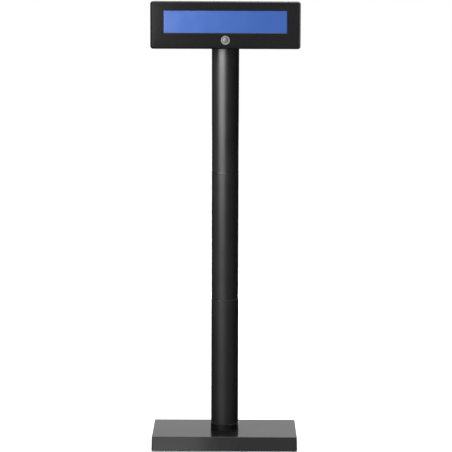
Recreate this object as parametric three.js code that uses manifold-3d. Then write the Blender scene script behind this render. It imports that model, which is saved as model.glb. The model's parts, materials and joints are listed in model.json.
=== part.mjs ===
// A customer pole display for a shop counter: a weighted base, a pole in three sections, and a
// display head that swivels on the pole and tilts on a friction hinge behind it.
// Millimetres, +Z up. The origin is on the counter under the pole's axis; the display faces -Y.

import * as THREE from 'three';
import { mergeVertices } from 'three/addons/utils/BufferGeometryUtils.js';
import Module from 'manifold-3d';

const wasm = await Module();
wasm.setup();

// ---- Driving dimensions ----------------------------------------------------------------------

const GAP = 0.3; // between two pieces that meet
const RUN = 0.15; // between a shaft and what turns on it
const ROUND = 28; // sides of a large round piece
const SMALL_ROUND = 14; // sides of a small round piece
const SCREW_ROUND = 10; // sides of a screw
const OVERCUT = 1; // how far a cutting shape runs past the surface it cuts
const SEAT = 0.1; // between pieces that bear on each other

const BASE = { width: 206.5, depth: 115, height: 20.8, corner: 2, edge: 1, draft: 0.5 };
const BASE_WALL = 2.6;
const BASE_FLOOR = 1.5; // the rubber feet hold the base this far off the counter
const BASE_TOP = BASE_FLOOR + BASE.height;
const BASE_ROOF = BASE_TOP - BASE_WALL;
const BASE_BOSS = { x: 94, y: 30, radius: 3.6, hole: 1.4, solidEnd: 4 };

const COVER = { thickness: 2.4, recessRadius: 3.3, recessDepth: 1.5 };
const COVER_TOP = BASE_FLOOR + COVER.thickness;

const FOOT = { x: 82, y: 42, radius: 8, edge: 0.6, pegRadius: 3, pegTop: 3.6 };

const WEIGHT = { width: 188, depth: 99, thickness: 7, corner: 3 };
const WEIGHT_BOTTOM = COVER_TOP + GAP;
const WEIGHT_TOP = WEIGHT_BOTTOM + WEIGHT.thickness;
const WEIGHT_NOTCH = { width: 44, front: 22 }; // room for the jack board

const JACK_BOARD = { width: 40, front: 24, back: 51, bottom: 4.3, thickness: 1.4 };
const JACK = { width: 15.2, height: 12.4, front: 43.4, back: 57.3 };
const JACK_MOUTH = { width: 11.8, height: 7.4, depth: 11, latchWidth: 6, latchDrop: 1.4 };
const JACK_BOTTOM = JACK_BOARD.bottom + JACK_BOARD.thickness + GAP;

const BORE = 16.8; // inner radius of every pole section
const SPIGOT = BORE - GAP; // outer radius of what slides into them

const MOUNT = { flange: 28, thickness: 3, innerRadius: 13, top: 62, screwRing: 23, screws: 3 };
const MOUNT_SCREW = { clearance: 2.3, recessRadius: 4.4, recessDepth: 2.8 };
const MOUNT_BOTTOM = WEIGHT_TOP + 2 * SEAT;
const MOUNT_SLOT = { width: 7, height: 5 }; // where the lead enters the pole

const COLLAR = { radius: 20.1, height: 8.9, groove: 0.8, grooveDepth: 0.7 };
const COLLAR_TOP = BASE_TOP + COLLAR.height;

const SECTION_LENGTH = 181.25;
const SEAM = 0.2; // between one section and the next
const END_CHAMFER = 0.5;
const LOWER_RADIUS = 19.6;
const MIDDLE_RADIUS = 19.15;
const UPPER_RADIUS = { bottom: 19.05, top: 19.45 };
const SEAM_1 = COLLAR_TOP + SECTION_LENGTH;
const SEAM_2 = SEAM_1 + SECTION_LENGTH;
const POLE_TOP = SEAM_2 + SECTION_LENGTH;
const COUPLER = { innerRadius: 14.2, length: 56 };

// The swivel: heights here are measured from the pole's top.
const BUSH = { bore: 10, depth: 14, flange: 18.9, flangeThickness: 2.2 };
const BUSH_TOP = GAP + BUSH.flangeThickness;
const NECK = {
  radius: 18.9, bottom: BUSH_TOP + GAP, deck: 8.8, edge: 0.8, leadBore: 5, spigotEnd: -22,
};
const NECK_SPIGOT = BUSH.bore - RUN;
const CLIP = { outer: 13.5, groove: 8.6, bottom: -18.2, thickness: 1.4, opening: 12 };
const STOP = { inner: 12.4, outer: 15.6, width: 5, height: 2.2 }; // keeps the swivel under one turn

// The tilt hinge: its axis runs along X behind the head, in the plane of the pole's axis.
const HINGE_HEIGHT = 30.05; // above the pole's top
const EAR = { inner: 13.4, radius: 11, flat: 17.6 };
const LUG = { inner: 8.9, outer: 12.2, radius: 8, rootHalfHeight: 13 };
const LUG_TOOTH = { reach: 12.5, halfWidth: 3 }; // meets the step on the neck at full tilt
const STEP = { front: 5, back: 12, below: 10.4 }; // that step, measured from the hinge axis
const BOLT = { radius: 2.5, headRadius: 4.5, headHeight: 2.8, dome: 0.9, end: 4.1, chamfer: 0.4 };
const BOLT_KEY = { radius: 1.9, depth: 1.6 };
const WASHER = { radius: 8, thickness: 0.9 };
const SPRING = { radius: 6, thickness: 0.5, cone: 0.7 };
const NUT = { acrossFlats: 8, thickness: 3.2 };
const HARDWARE_BORE = BOLT.radius + GAP;

// The head: depths are measured back from the front face, heights from the hinge axis.
const HEAD = { width: 209.5, height: 66.1, depth: 27, corner: 4, wall: 2.4, innerCorner: 2.5 };
const POST_ROOT = HEAD.wall - 0.5; // posts behind the front wall start inside it
const POST_HOLE = HEAD.wall + 2; // and their holes end short of it
const HEAD_FRONT = -50; // the front face, from the pole's axis
const FRONT_EDGE = 2.5;
const REAR_EDGE = 3.5;
const SPLIT = 16; // where the front housing meets the rear shell
const WINDOW = { width: 171.7, height: 31, up: 4.5, flange: 3.2, flangeThickness: 1.2 };
const WINDOW_SETBACK = 0.15;
const BADGE = { radius: 6.05, up: -20.95, recess: 0.9, proud: 0.35, rim: 0.8, edge: 0.2 };
const GASKET = { front: 4.2, back: 5.3, inset: 2.6 };
const VFD = { width: 184, height: 40, front: 5.6, back: 10.6, glass: 1.4, plate: 1.3 };
const GRID = { width: 156, height: 24, front: 8.4, thickness: 0.5, cells: 20, bar: 1.2 };
const BOARD = { width: 185, bottom: -28.4, top: 30.2, front: 12.9, thickness: 1.6 };
const BOARD_BACK = BOARD.front + BOARD.thickness;
const CHIP_FRONT = BOARD_BACK + 2 * SEAT; // where what is mounted on the board's back begins
const CONTROLLER = { width: 14, height: 14, thickness: 2, x: -34, z: -8 };
const DRIVER = { width: 22, height: 9, thickness: 2.4, x: -62, z: 10 };
const HEADER = { width: 15, height: 7, thickness: 5.4 };
const COIL = { radius: 6, waist: 4.6, cheek: 1.2, height: 6, x: 58, z: -14 };
const POST = { x: 86, low: -22, high: 27.6, radius: 2.7, hole: 1.3, peg: 1.2 };
const HEAD_BOSS = { x: 96.3, z: 25.6, radius: 3.2, hole: 1.4 };
const BRACKET_BOSS = { length: 4.6, hole: 4 };
const REAR_RECESS = { radius: 2.9, depth: 1.6 }; // for the heads of the rear screws
const RECESS_FLOOR = HEAD.depth - REAR_RECESS.depth;
const VENT = { width: 2, height: 22, pitch: 5, first: 48, count: 7, up: 3 };
const LEAD_HOLE = 9;

const BRACKET = { width: 46, height: 34, thickness: 2, corner: 3, screwX: 18 };
const BRACKET_FRONT = HEAD.depth + 2 * SEAT;
const BRACKET_BACK = BRACKET_FRONT + BRACKET.thickness;

// Head radius and height, shank radius, and length under the head.
const SCREWS = {
  cover: { head: 3, headHeight: 1.3, shank: 1.15, length: 11 },
  mount: { head: 4, headHeight: 2.2, shank: 2, length: 7.2 },
  board: { head: 2.6, headHeight: 1.5, shank: 1.05, length: 8 },
  rear: { head: 2.6, headHeight: 1.4, shank: 1.1, length: 17 },
  bracket: { head: 3, headHeight: 1.8, shank: 1.1, length: 6 },
};

const LEAD_RADIUS = 2;
const LEAD_BREAK = 3; // the lead's straight runs stop this far from the hinge axis
const LEAD_SIDES = 8;
const LEAD_STEPS = 52;

// Colour, roughness and metalness of each material.
const BLACK_PLASTIC = { color: 0x1b1c1e, roughness: 0.42, metalness: 0 };
const BASE_PLASTIC = { color: 0x202124, roughness: 0.3, metalness: 0 };
const POLE_PLASTIC = { color: 0x191a1c, roughness: 0.42, metalness: 0 };
const BLUE_FILTER = { color: 0x4a6fbf, roughness: 0.15, metalness: 0 };
const SILVER = { color: 0xa9abad, roughness: 0.3, metalness: 0.9 };
const PLATED_STEEL = { color: 0x8d9094, roughness: 0.35, metalness: 1 };
const DARK_STEEL = { color: 0x2c2d30, roughness: 0.45, metalness: 0.8 };
const RUBBER = { color: 0x141414, roughness: 0.9, metalness: 0 };
const ACETAL = { color: 0xd8d6cf, roughness: 0.5, metalness: 0 };
const GLASS = { color: 0x9db3b0, roughness: 0.08, metalness: 0 };
const CIRCUIT_BOARD = { color: 0x1f5a3a, roughness: 0.5, metalness: 0 };
const CHIP = { color: 0x232427, roughness: 0.6, metalness: 0 };

// ---- Solids ----------------------------------------------------------------------------------

// A closed geometry as a solid that can be joined and cut.
function solid(geometry) {
  const bare = geometry.clone();
  bare.deleteAttribute('normal');
  bare.deleteAttribute('uv');
  const merged = mergeVertices(bare);
  const corners = merged.index.array;
  const triangles = [];
  for (let i = 0; i < corners.length; i += 3) {
    const [a, b, c] = corners.slice(i, i + 3);
    if (a !== b && b !== c && c !== a) {
      triangles.push(a, b, c);
    }
  }
  return new wasm.Manifold(new wasm.Mesh({
    numProp: 3,
    vertProperties: Float32Array.from(merged.attributes.position.array),
    triVerts: Uint32Array.from(triangles),
  }));
}

function geometryOf(body) {
  const mesh = body.getMesh();
  const geometry = new THREE.BufferGeometry();
  geometry.setAttribute('position', new THREE.BufferAttribute(mesh.vertProperties, 3));
  geometry.setIndex(new THREE.BufferAttribute(mesh.triVerts, 1));
  return geometry;
}

function join(first, ...others) {
  return geometryOf(others.reduce((sum, other) => sum.add(solid(other)), solid(first)));
}

function cut(first, ...tools) {
  return geometryOf(tools.reduce((rest, tool) => rest.subtract(solid(tool)), solid(first)));
}

function common(first, second) {
  return geometryOf(solid(first).intersect(solid(second)));
}

// A finished piece: a named mesh with a material of its own.
function part(name, geometry, finish) {
  const clean = geometryOf(solid(geometry));
  clean.computeVertexNormals();
  const mesh = new THREE.Mesh(clean, new THREE.MeshStandardMaterial(finish));
  mesh.name = name;
  return mesh;
}

// A box between its lowest and its highest corner.
function block([x0, y0, z0], [x1, y1, z1]) {
  const box = new THREE.BoxGeometry(x1 - x0, y1 - y0, z1 - z0);
  return box.translate((x0 + x1) / 2, (y0 + y1) / 2, (z0 + z1) / 2);
}

// A piece turned about Z from a profile of [radius, height] points.
function turned(profile, sides = ROUND) {
  const points = profile.map(([radius, height]) => new THREE.Vector2(radius, height));
  return new THREE.LatheGeometry(points, sides).rotateX(Math.PI / 2);
}

function rod(radius, bottom, top, sides = ROUND) {
  return turned([[0, bottom], [radius, bottom], [radius, top], [0, top]], sides);
}

function ring(outer, inner, bottom, top, sides = ROUND) {
  const profile = [[inner, bottom], [outer, bottom], [outer, top], [inner, top], [inner, bottom]];
  return turned(profile, sides);
}

function roundedRectangle(width, height, corner) {
  const [x, y] = [width / 2 - corner, height / 2 - corner];
  const outline = new THREE.Shape();
  outline.absarc(x, y, corner, 0, Math.PI / 2);
  outline.absarc(-x, y, corner, Math.PI / 2, Math.PI);
  outline.absarc(-x, -y, corner, Math.PI, 1.5 * Math.PI);
  outline.absarc(x, -y, corner, 1.5 * Math.PI, 2 * Math.PI);
  return outline;
}

// A rectangular slab with round corners, rising from z = 0; edge rounds its rims.
function slab(width, height, thickness, corner, edge = 0) {
  const outline = roundedRectangle(width - 2 * edge, height - 2 * edge, corner - edge);
  const body = new THREE.ExtrudeGeometry(outline, {
    depth: thickness - 2 * edge,
    curveSegments: 2,
    bevelEnabled: edge > 0,
    bevelThickness: edge,
    bevelSize: edge,
    bevelSegments: 2,
  });
  return body.translate(0, 0, edge);
}

// Turns a piece that rises along +Z so that it runs back along +Y instead, from y = start.
function runningBack(geometry, start = 0) {
  return geometry.rotateX(-Math.PI / 2).translate(0, start, 0);
}

// Turns a piece that rises along +Z so that it runs out along X on one side (1 right, -1 left).
function runningOut(geometry, side) {
  return geometry.rotateY(side * Math.PI / 2);
}

// The four corners of a rectangle centred on the origin, with a number for each.
function corners(x, y) {
  return [[-x, -y], [x, -y], [x, y], [-x, y]].map((place, index) => [index + 1, ...place]);
}

// A pan-head screw. Its head sits below z = 0 and its shank rises from there.
function screw({ head, headHeight, shank, length }) {
  const soft = 0.35;
  const body = turned([
    [0, -headHeight], [head - soft, -headHeight], [head, soft - headHeight], [head, 0],
    [shank, 0], [shank, length - shank / 2], [shank / 2, length], [0, length],
  ], SCREW_ROUND);
  const arm = 0.62 * head;
  const thin = 0.16 * head;
  const depth = 0.55 * headHeight;
  const top = depth - headHeight;
  const bottom = -headHeight - OVERCUT;
  return cut(
    body,
    block([-arm, -thin, bottom], [arm, thin, top]),
    block([-thin, -arm, bottom], [thin, arm, top]),
  );
}

// ---- Base ------------------------------------------------------------------------------------

// The base's outer form: a shallow slab whose sides lean out a little towards the counter.
function baseForm() {
  const form = slab(BASE.width, BASE.depth, BASE.height, BASE.corner, BASE.edge);
  const position = form.attributes.position;
  for (let i = 0; i < position.count; i += 1) {
    const grow = BASE.draft * (1 - position.getZ(i) / BASE.height);
    position.setX(i, position.getX(i) * (1 + 2 * grow / BASE.width));
    position.setY(i, position.getY(i) * (1 + 2 * grow / BASE.depth));
  }
  return form.translate(0, 0, BASE_FLOOR);
}

function baseShell() {
  const [x, y] = [BASE.width / 2 - BASE_WALL, BASE.depth / 2 - BASE_WALL];
  const bosses = [];
  const holes = [];
  for (const [, bossX, bossY] of corners(BASE_BOSS.x, BASE_BOSS.y)) {
    const from = COVER_TOP + GAP;
    bosses.push(rod(BASE_BOSS.radius, from, BASE_ROOF + OVERCUT, SMALL_ROUND)
      .translate(bossX, bossY, 0));
    const holeTop = BASE_ROOF - BASE_BOSS.solidEnd;
    holes.push(rod(BASE_BOSS.hole, from - OVERCUT, holeTop, SMALL_ROUND)
      .translate(bossX, bossY, 0));
  }
  const hollow = cut(baseForm(), block([-x, -y, 0], [x, y, BASE_ROOF]));
  return cut(
    join(hollow, ...bosses),
    ...holes,
    rod(BORE, BASE_ROOF - OVERCUT, BASE_TOP + OVERCUT),
    block(
      [-JACK.width / 2 - GAP, y - OVERCUT, JACK_BOTTOM - GAP],
      [JACK.width / 2 + GAP, y + 2 * BASE_WALL, JACK_BOTTOM + JACK.height + GAP],
    ),
  );
}

function bottomCover() {
  const width = BASE.width - 2 * (BASE_WALL + GAP);
  const depth = BASE.depth - 2 * (BASE_WALL + GAP);
  const plate = slab(width, depth, COVER.thickness, BASE.corner).translate(0, 0, BASE_FLOOR);
  const holes = [];
  for (const [, x, y] of corners(BASE_BOSS.x, BASE_BOSS.y)) {
    const recessTop = BASE_FLOOR + COVER.recessDepth;
    holes.push(rod(COVER.recessRadius, 0, recessTop, SMALL_ROUND).translate(x, y, 0));
    holes.push(rod(BASE_BOSS.hole, 0, COVER_TOP + OVERCUT, SMALL_ROUND).translate(x, y, 0));
  }
  for (const [, x, y] of corners(FOOT.x, FOOT.y)) {
    const hole = FOOT.pegRadius + GAP;
    holes.push(rod(hole, 0, COVER_TOP + OVERCUT, SMALL_ROUND).translate(x, y, 0));
  }
  return cut(plate, ...holes);
}

// A rubber foot with a peg that plugs into the bottom cover.
function foot() {
  const top = BASE_FLOOR - SEAT;
  return turned([
    [0, 0], [FOOT.radius - FOOT.edge, 0], [FOOT.radius, FOOT.edge], [FOOT.radius, top],
    [FOOT.pegRadius, top], [FOOT.pegRadius, FOOT.pegTop], [0, FOOT.pegTop],
  ], SMALL_ROUND);
}

function mountScrewPlaces() {
  return Array.from({ length: MOUNT.screws }, (_, index) => {
    const angle = -Math.PI / 2 + 2 * Math.PI * index / MOUNT.screws;
    return [index + 1, MOUNT.screwRing * Math.cos(angle), MOUNT.screwRing * Math.sin(angle)];
  });
}

function weightPlate() {
  const plate = slab(WEIGHT.width, WEIGHT.depth, WEIGHT.thickness, WEIGHT.corner)
    .translate(0, 0, WEIGHT_BOTTOM);
  const half = WEIGHT_NOTCH.width / 2;
  const tools = [block(
    [-half, WEIGHT_NOTCH.front, WEIGHT_BOTTOM - OVERCUT],
    [half, WEIGHT.depth, WEIGHT_TOP + OVERCUT],
  )];
  for (const [, x, y] of corners(BASE_BOSS.x, BASE_BOSS.y)) {
    const hole = BASE_BOSS.radius + 2 * GAP;
    tools.push(rod(hole, 0, WEIGHT_TOP + OVERCUT, SMALL_ROUND).translate(x, y, 0));
  }
  const recessTop = WEIGHT_BOTTOM + MOUNT_SCREW.recessDepth;
  for (const [, x, y] of mountScrewPlaces()) {
    tools.push(rod(MOUNT_SCREW.recessRadius, 0, recessTop, SMALL_ROUND).translate(x, y, 0));
    tools.push(rod(MOUNT_SCREW.clearance, 0, WEIGHT_TOP + OVERCUT, SMALL_ROUND).translate(x, y, 0));
  }
  return cut(plate, ...tools);
}

// The flanged tube that the pole slides over, with a slot at the back for the lead.
function poleMount() {
  const flangeTop = MOUNT_BOTTOM + MOUNT.thickness;
  const body = turned([
    [MOUNT.innerRadius, MOUNT_BOTTOM], [MOUNT.flange, MOUNT_BOTTOM], [MOUNT.flange, flangeTop],
    [SPIGOT, flangeTop], [SPIGOT, MOUNT.top - OVERCUT], [SPIGOT - OVERCUT, MOUNT.top],
    [MOUNT.innerRadius, MOUNT.top], [MOUNT.innerRadius, MOUNT_BOTTOM],
  ]);
  const half = MOUNT_SLOT.width / 2;
  const slotBottom = flangeTop + GAP;
  const slotTop = slotBottom + MOUNT_SLOT.height;
  const slot = block([-half, 0, slotBottom], [half, MOUNT.flange, slotTop]);
  const holes = mountScrewPlaces().map(([, x, y]) => (
    rod(MOUNT_SCREW.clearance, MOUNT_BOTTOM - OVERCUT, flangeTop + OVERCUT, SMALL_ROUND)
      .translate(x, y, 0)
  ));
  return cut(body, slot, ...holes);
}

// The ring at the pole's foot, with a groove around its middle.
function footCollar() {
  const bottom = BASE_TOP + SEAT;
  const middle = BASE_TOP + COLLAR.height / 2;
  const floor = COLLAR.radius - COLLAR.grooveDepth;
  return turned([
    [BORE, bottom], [COLLAR.radius, bottom],
    [COLLAR.radius, middle - COLLAR.groove / 2], [floor, middle - COLLAR.groove / 2],
    [floor, middle + COLLAR.groove / 2], [COLLAR.radius, middle + COLLAR.groove / 2],
    [COLLAR.radius, COLLAR_TOP - END_CHAMFER], [COLLAR.radius - END_CHAMFER, COLLAR_TOP],
    [BORE, COLLAR_TOP], [BORE, bottom],
  ]);
}

function jackBoard() {
  const half = JACK_BOARD.width / 2;
  const top = JACK_BOARD.bottom + JACK_BOARD.thickness;
  return block([-half, JACK_BOARD.front, JACK_BOARD.bottom], [half, JACK_BOARD.back, top]);
}

// The modular socket in the base's rear wall that the shop's data lead plugs into.
function dataJack() {
  const half = JACK.width / 2;
  const top = JACK_BOTTOM + JACK.height;
  const middle = (JACK_BOTTOM + top) / 2;
  const [mouthX, mouthZ] = [JACK_MOUTH.width / 2, JACK_MOUTH.height / 2];
  const latch = JACK_MOUTH.latchWidth / 2; // the notch for the plug's latch, below the mouth
  const latchFloor = middle - mouthZ - JACK_MOUTH.latchDrop;
  const inside = JACK.back - JACK_MOUTH.depth;
  const outside = JACK.back + OVERCUT;
  return cut(
    block([-half, JACK.front, JACK_BOTTOM], [half, JACK.back, top]),
    block([-mouthX, inside, middle - mouthZ], [mouthX, outside, middle + mouthZ]),
    block([-latch, inside, latchFloor], [latch, outside, latchFloor + 2 * OVERCUT]),
  );
}

function buildBase() {
  const base = new THREE.Group();
  base.add(part('base_shell', baseShell(), BASE_PLASTIC));
  base.add(part('base_bottom_cover', bottomCover(), BLACK_PLASTIC));
  base.add(part('base_weight_plate', weightPlate(), DARK_STEEL));
  base.add(part('pole_mount', poleMount(), PLATED_STEEL));
  base.add(part('foot_collar', footCollar(), BLACK_PLASTIC));
  base.add(part('jack_board', jackBoard(), CIRCUIT_BOARD));
  base.add(part('data_jack', dataJack(), CHIP));
  for (const [number, x, y] of corners(FOOT.x, FOOT.y)) {
    const rubber = part(`rubber_foot_${number}`, foot(), RUBBER);
    rubber.position.set(x, y, 0);
    base.add(rubber);
  }
  for (const [number, x, y] of corners(BASE_BOSS.x, BASE_BOSS.y)) {
    const fastener = part(`cover_screw_${number}`, screw(SCREWS.cover), PLATED_STEEL);
    fastener.position.set(x, y, BASE_FLOOR + COVER.recessDepth - SEAT);
    base.add(fastener);
  }
  for (const [number, x, y] of mountScrewPlaces()) {
    const fastener = part(`mount_screw_${number}`, screw(SCREWS.mount), PLATED_STEEL);
    fastener.position.set(x, y, WEIGHT_BOTTOM + MOUNT_SCREW.recessDepth - SEAT);
    base.add(fastener);
  }
  return base;
}

// ---- Pole ------------------------------------------------------------------------------------

// One section of the pole: a tube with a small chamfer at each end.
function poleSection(bottomRadius, topRadius, bottom) {
  const top = bottom + SECTION_LENGTH - SEAM;
  return turned([
    [BORE, bottom], [bottomRadius - END_CHAMFER, bottom], [bottomRadius, bottom + END_CHAMFER],
    [topRadius, top - END_CHAMFER], [topRadius - END_CHAMFER, top], [BORE, top], [BORE, bottom],
  ]);
}

function coupler(seam) {
  const [bottom, top] = [seam - COUPLER.length / 2, seam + COUPLER.length / 2];
  return turned([
    [COUPLER.innerRadius, bottom], [SPIGOT - OVERCUT, bottom], [SPIGOT, bottom + OVERCUT],
    [SPIGOT, top - OVERCUT], [SPIGOT - OVERCUT, top], [COUPLER.innerRadius, top],
    [COUPLER.innerRadius, bottom],
  ]);
}

// The bearing plugged into the pole's top. A block on its flange is the swivel's stop.
function swivelBush() {
  const body = turned([
    [BUSH.bore, -BUSH.depth], [SPIGOT, -BUSH.depth], [SPIGOT, GAP], [BUSH.flange, GAP],
    [BUSH.flange, BUSH_TOP], [BUSH.bore, BUSH_TOP], [BUSH.bore, -BUSH.depth],
  ]);
  const half = STOP.width / 2;
  const stopTop = BUSH_TOP + STOP.height;
  const stop = block([-half, STOP.inner + GAP, GAP], [half, STOP.outer - GAP, stopTop]);
  return join(body, stop);
}

// The lead from the jack board, through the mount's slot and up the middle of the pole.
function poleLead() {
  const slotMiddle = MOUNT_BOTTOM + MOUNT.thickness + GAP + MOUNT_SLOT.height / 2;
  const boardTop = JACK_BOARD.bottom + JACK_BOARD.thickness + GAP;
  const route = new THREE.CatmullRomCurve3([
    new THREE.Vector3(0, 37, boardTop),
    new THREE.Vector3(0, 36.4, boardTop + 6),
    new THREE.Vector3(0, 31.5, slotMiddle - 0.6),
    new THREE.Vector3(0, 24, slotMiddle),
    new THREE.Vector3(0, 17, slotMiddle - 0.2),
    new THREE.Vector3(0, 11, slotMiddle + 0.4),
    new THREE.Vector3(0, 4, slotMiddle + 4.6),
    new THREE.Vector3(0, 0.5, slotMiddle + 12),
    new THREE.Vector3(0, 0, slotMiddle + 24),
    new THREE.Vector3(0, 0, SEAM_1),
    new THREE.Vector3(0, 0, SEAM_2),
    new THREE.Vector3(0, 0, POLE_TOP),
  ]);
  return leadAlong(route, LEAD_STEPS);
}

function leadAlong(route, steps) {
  const section = new THREE.Shape();
  section.absarc(0, 0, LEAD_RADIUS, 0, 2 * Math.PI);
  return new THREE.ExtrudeGeometry(section, {
    extrudePath: route,
    steps,
    curveSegments: LEAD_SIDES / 2,
    bevelEnabled: false,
  });
}

function buildPole() {
  const pole = new THREE.Group();
  const lower = poleSection(LOWER_RADIUS, LOWER_RADIUS, COLLAR_TOP + SEAM);
  const middle = poleSection(MIDDLE_RADIUS, MIDDLE_RADIUS, SEAM_1 + SEAM);
  const upper = poleSection(UPPER_RADIUS.bottom, UPPER_RADIUS.top, SEAM_2 + SEAM);
  pole.add(part('pole_section_lower', lower, POLE_PLASTIC));
  pole.add(part('pole_section_middle', middle, POLE_PLASTIC));
  pole.add(part('pole_section_upper', upper, POLE_PLASTIC));
  pole.add(part('pole_coupler_lower', coupler(SEAM_1), BLACK_PLASTIC));
  pole.add(part('pole_coupler_upper', coupler(SEAM_2), BLACK_PLASTIC));
  pole.add(part('pole_lead', poleLead(), RUBBER));
  const bush = part('swivel_bush', swivelBush(), ACETAL);
  bush.position.z = POLE_TOP;
  pole.add(bush);
  return pole;
}

// ---- Neck: it swivels on the pole and carries the tilt hinge ---------------------------------

// An outline in the hinge's Y-Z plane, as a plate between two distances along X.
function sidePlate(outline, inner, outer) {
  const plate = new THREE.ExtrudeGeometry(outline, {
    depth: outer - inner,
    curveSegments: 8,
    bevelEnabled: false,
  });
  return plate.rotateX(Math.PI / 2).rotateZ(Math.PI / 2).translate(inner, 0, 0);
}

// The two ears: what is left of a round column, slotted for the lugs and rounded over the hinge.
function ears() {
  const column = rod(NECK.radius, NECK.deck - OVERCUT, HINGE_HEIGHT + EAR.radius);
  const slotTop = HINGE_HEIGHT + 2 * EAR.radius;
  const slot = block([-EAR.inner, -NECK.radius, 0], [EAR.inner, NECK.radius, slotTop]);
  const crown = new THREE.Shape();
  crown.moveTo(-EAR.radius, 0);
  crown.lineTo(EAR.radius, 0);
  crown.absarc(0, HINGE_HEIGHT, EAR.radius, 0, Math.PI);
  const profile = sidePlate(crown, -NECK.radius, NECK.radius);
  return common(cut(column, slot), profile);
}

function neck() {
  const { radius, bottom, deck, edge, leadBore, spigotEnd } = NECK;
  const grooveBottom = CLIP.bottom - SEAT;
  const grooveTop = CLIP.bottom + CLIP.thickness + SEAT;
  const turnedPart = turned([
    [leadBore, spigotEnd], [NECK_SPIGOT - edge, spigotEnd], [NECK_SPIGOT, spigotEnd + edge],
    [NECK_SPIGOT, grooveBottom], [CLIP.groove, grooveBottom], [CLIP.groove, grooveTop],
    [NECK_SPIGOT, grooveTop], [NECK_SPIGOT, bottom], [radius - edge, bottom],
    [radius, bottom + edge], [radius, deck - edge], [radius - edge, deck], [leadBore, deck],
    [leadBore, spigotEnd],
  ]);
  const stopTop = BUSH_TOP + STOP.height + GAP;
  const half = STOP.width / 2;
  const channel = cut(
    ring(STOP.outer, STOP.inner, bottom - OVERCUT, stopTop),
    block([-half, -STOP.outer - OVERCUT, bottom - 2 * OVERCUT], [half, 0, stopTop + OVERCUT]),
  );
  const steps = [-1, 1].map((side) => block(
    [side > 0 ? LUG.inner - GAP : -EAR.inner - OVERCUT, STEP.front, deck - OVERCUT],
    [side > 0 ? EAR.inner + OVERCUT : GAP - LUG.inner, STEP.back, HINGE_HEIGHT - STEP.below],
  ));
  const spotFaces = [-1, 1].map((side) => {
    const face = rod(BOLT.headRadius + OVERCUT, EAR.flat, radius + OVERCUT, SMALL_ROUND);
    return runningOut(face, side).translate(0, 0, HINGE_HEIGHT);
  });
  const boltHole = rod(HARDWARE_BORE, -radius - OVERCUT, radius + OVERCUT, SMALL_ROUND)
    .rotateY(Math.PI / 2).translate(0, 0, HINGE_HEIGHT);
  return cut(join(turnedPart, ears(), ...steps), channel, boltHole, ...spotFaces);
}

// The open ring that snaps into the spigot's groove under the bush.
function retainingClip() {
  const inner = CLIP.groove + GAP;
  const body = ring(CLIP.outer, inner, CLIP.bottom, CLIP.bottom + CLIP.thickness);
  const half = CLIP.opening / 2;
  const top = CLIP.bottom + CLIP.thickness + OVERCUT;
  return cut(body, block([-half, 0, CLIP.bottom - OVERCUT], [half, CLIP.outer + OVERCUT, top]));
}

function tiltBolt() {
  const { radius, headRadius, headHeight, dome, end, chamfer } = BOLT;
  const under = EAR.flat + GAP;
  const top = under + headHeight;
  const body = turned([
    [0, end], [radius - chamfer, end], [radius, end + chamfer], [radius, under],
    [headRadius, under], [headRadius, top - dome], [headRadius - dome, top], [0, top],
  ], SMALL_ROUND);
  const key = rod(BOLT_KEY.radius, top - BOLT_KEY.depth, top + OVERCUT, 6);
  return cut(body, key);
}

function frictionWasher() {
  const inner = LUG.outer + RUN;
  return ring(WASHER.radius, HARDWARE_BORE, inner, inner + WASHER.thickness, SMALL_ROUND);
}

// A conical spring washer between the nut and the lug, its wide rim against the lug.
function discSpring() {
  const wide = LUG.inner - RUN;
  const narrow = wide - SPRING.cone;
  const { radius, thickness } = SPRING;
  return turned([
    [HARDWARE_BORE, narrow - thickness], [radius, wide - thickness], [radius, wide],
    [HARDWARE_BORE, narrow], [HARDWARE_BORE, narrow - thickness],
  ], SMALL_ROUND);
}

function hingeNut() {
  const outer = LUG.inner - RUN - SPRING.cone - SPRING.thickness - RUN;
  const inner = outer - NUT.thickness;
  const hexagon = rod(NUT.acrossFlats / Math.sqrt(3), inner, outer, 6);
  return cut(hexagon, rod(HARDWARE_BORE, inner - OVERCUT, outer + OVERCUT, SMALL_ROUND));
}

function neckLead() {
  return rod(LEAD_RADIUS, GAP, HINGE_HEIGHT - LEAD_BREAK, LEAD_SIDES);
}

function buildNeck() {
  const group = new THREE.Group();
  group.position.z = POLE_TOP;
  group.add(part('swivel_neck', neck(), DARK_STEEL));
  group.add(part('retaining_clip', retainingClip(), PLATED_STEEL));
  group.add(part('neck_lead', neckLead(), RUBBER));
  const hinge = new THREE.Group();
  hinge.position.z = HINGE_HEIGHT;
  for (const [word, side] of [['left', -1], ['right', 1]]) {
    hinge.add(part(`tilt_bolt_${word}`, runningOut(tiltBolt(), side), DARK_STEEL));
    hinge.add(part(`friction_washer_${word}`, runningOut(frictionWasher(), side), ACETAL));
    hinge.add(part(`disc_spring_${word}`, runningOut(discSpring(), side), PLATED_STEEL));
    hinge.add(part(`hinge_nut_${word}`, runningOut(hingeNut(), side), PLATED_STEEL));
  }
  group.add(hinge);
  return group;
}

// ---- Head ------------------------------------------------------------------------------------

// A slab in the head's own plane: x across, z up, running back from y = front to y = back.
function panel(width, height, corner, front, back, edge = 0) {
  return runningBack(slab(width, height, back - front, corner, edge), front);
}

// A box given by its width and height about a centre, and its front and back depths.
function brick(width, height, front, back, x = 0, z = 0) {
  return block([x - width / 2, front, z - height / 2], [x + width / 2, back, z + height / 2]);
}

// A round piece running back through the head.
function stud(radius, front, back, x = 0, z = 0) {
  return runningBack(rod(radius, front, back, SMALL_ROUND)).translate(x, 0, z);
}

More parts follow.
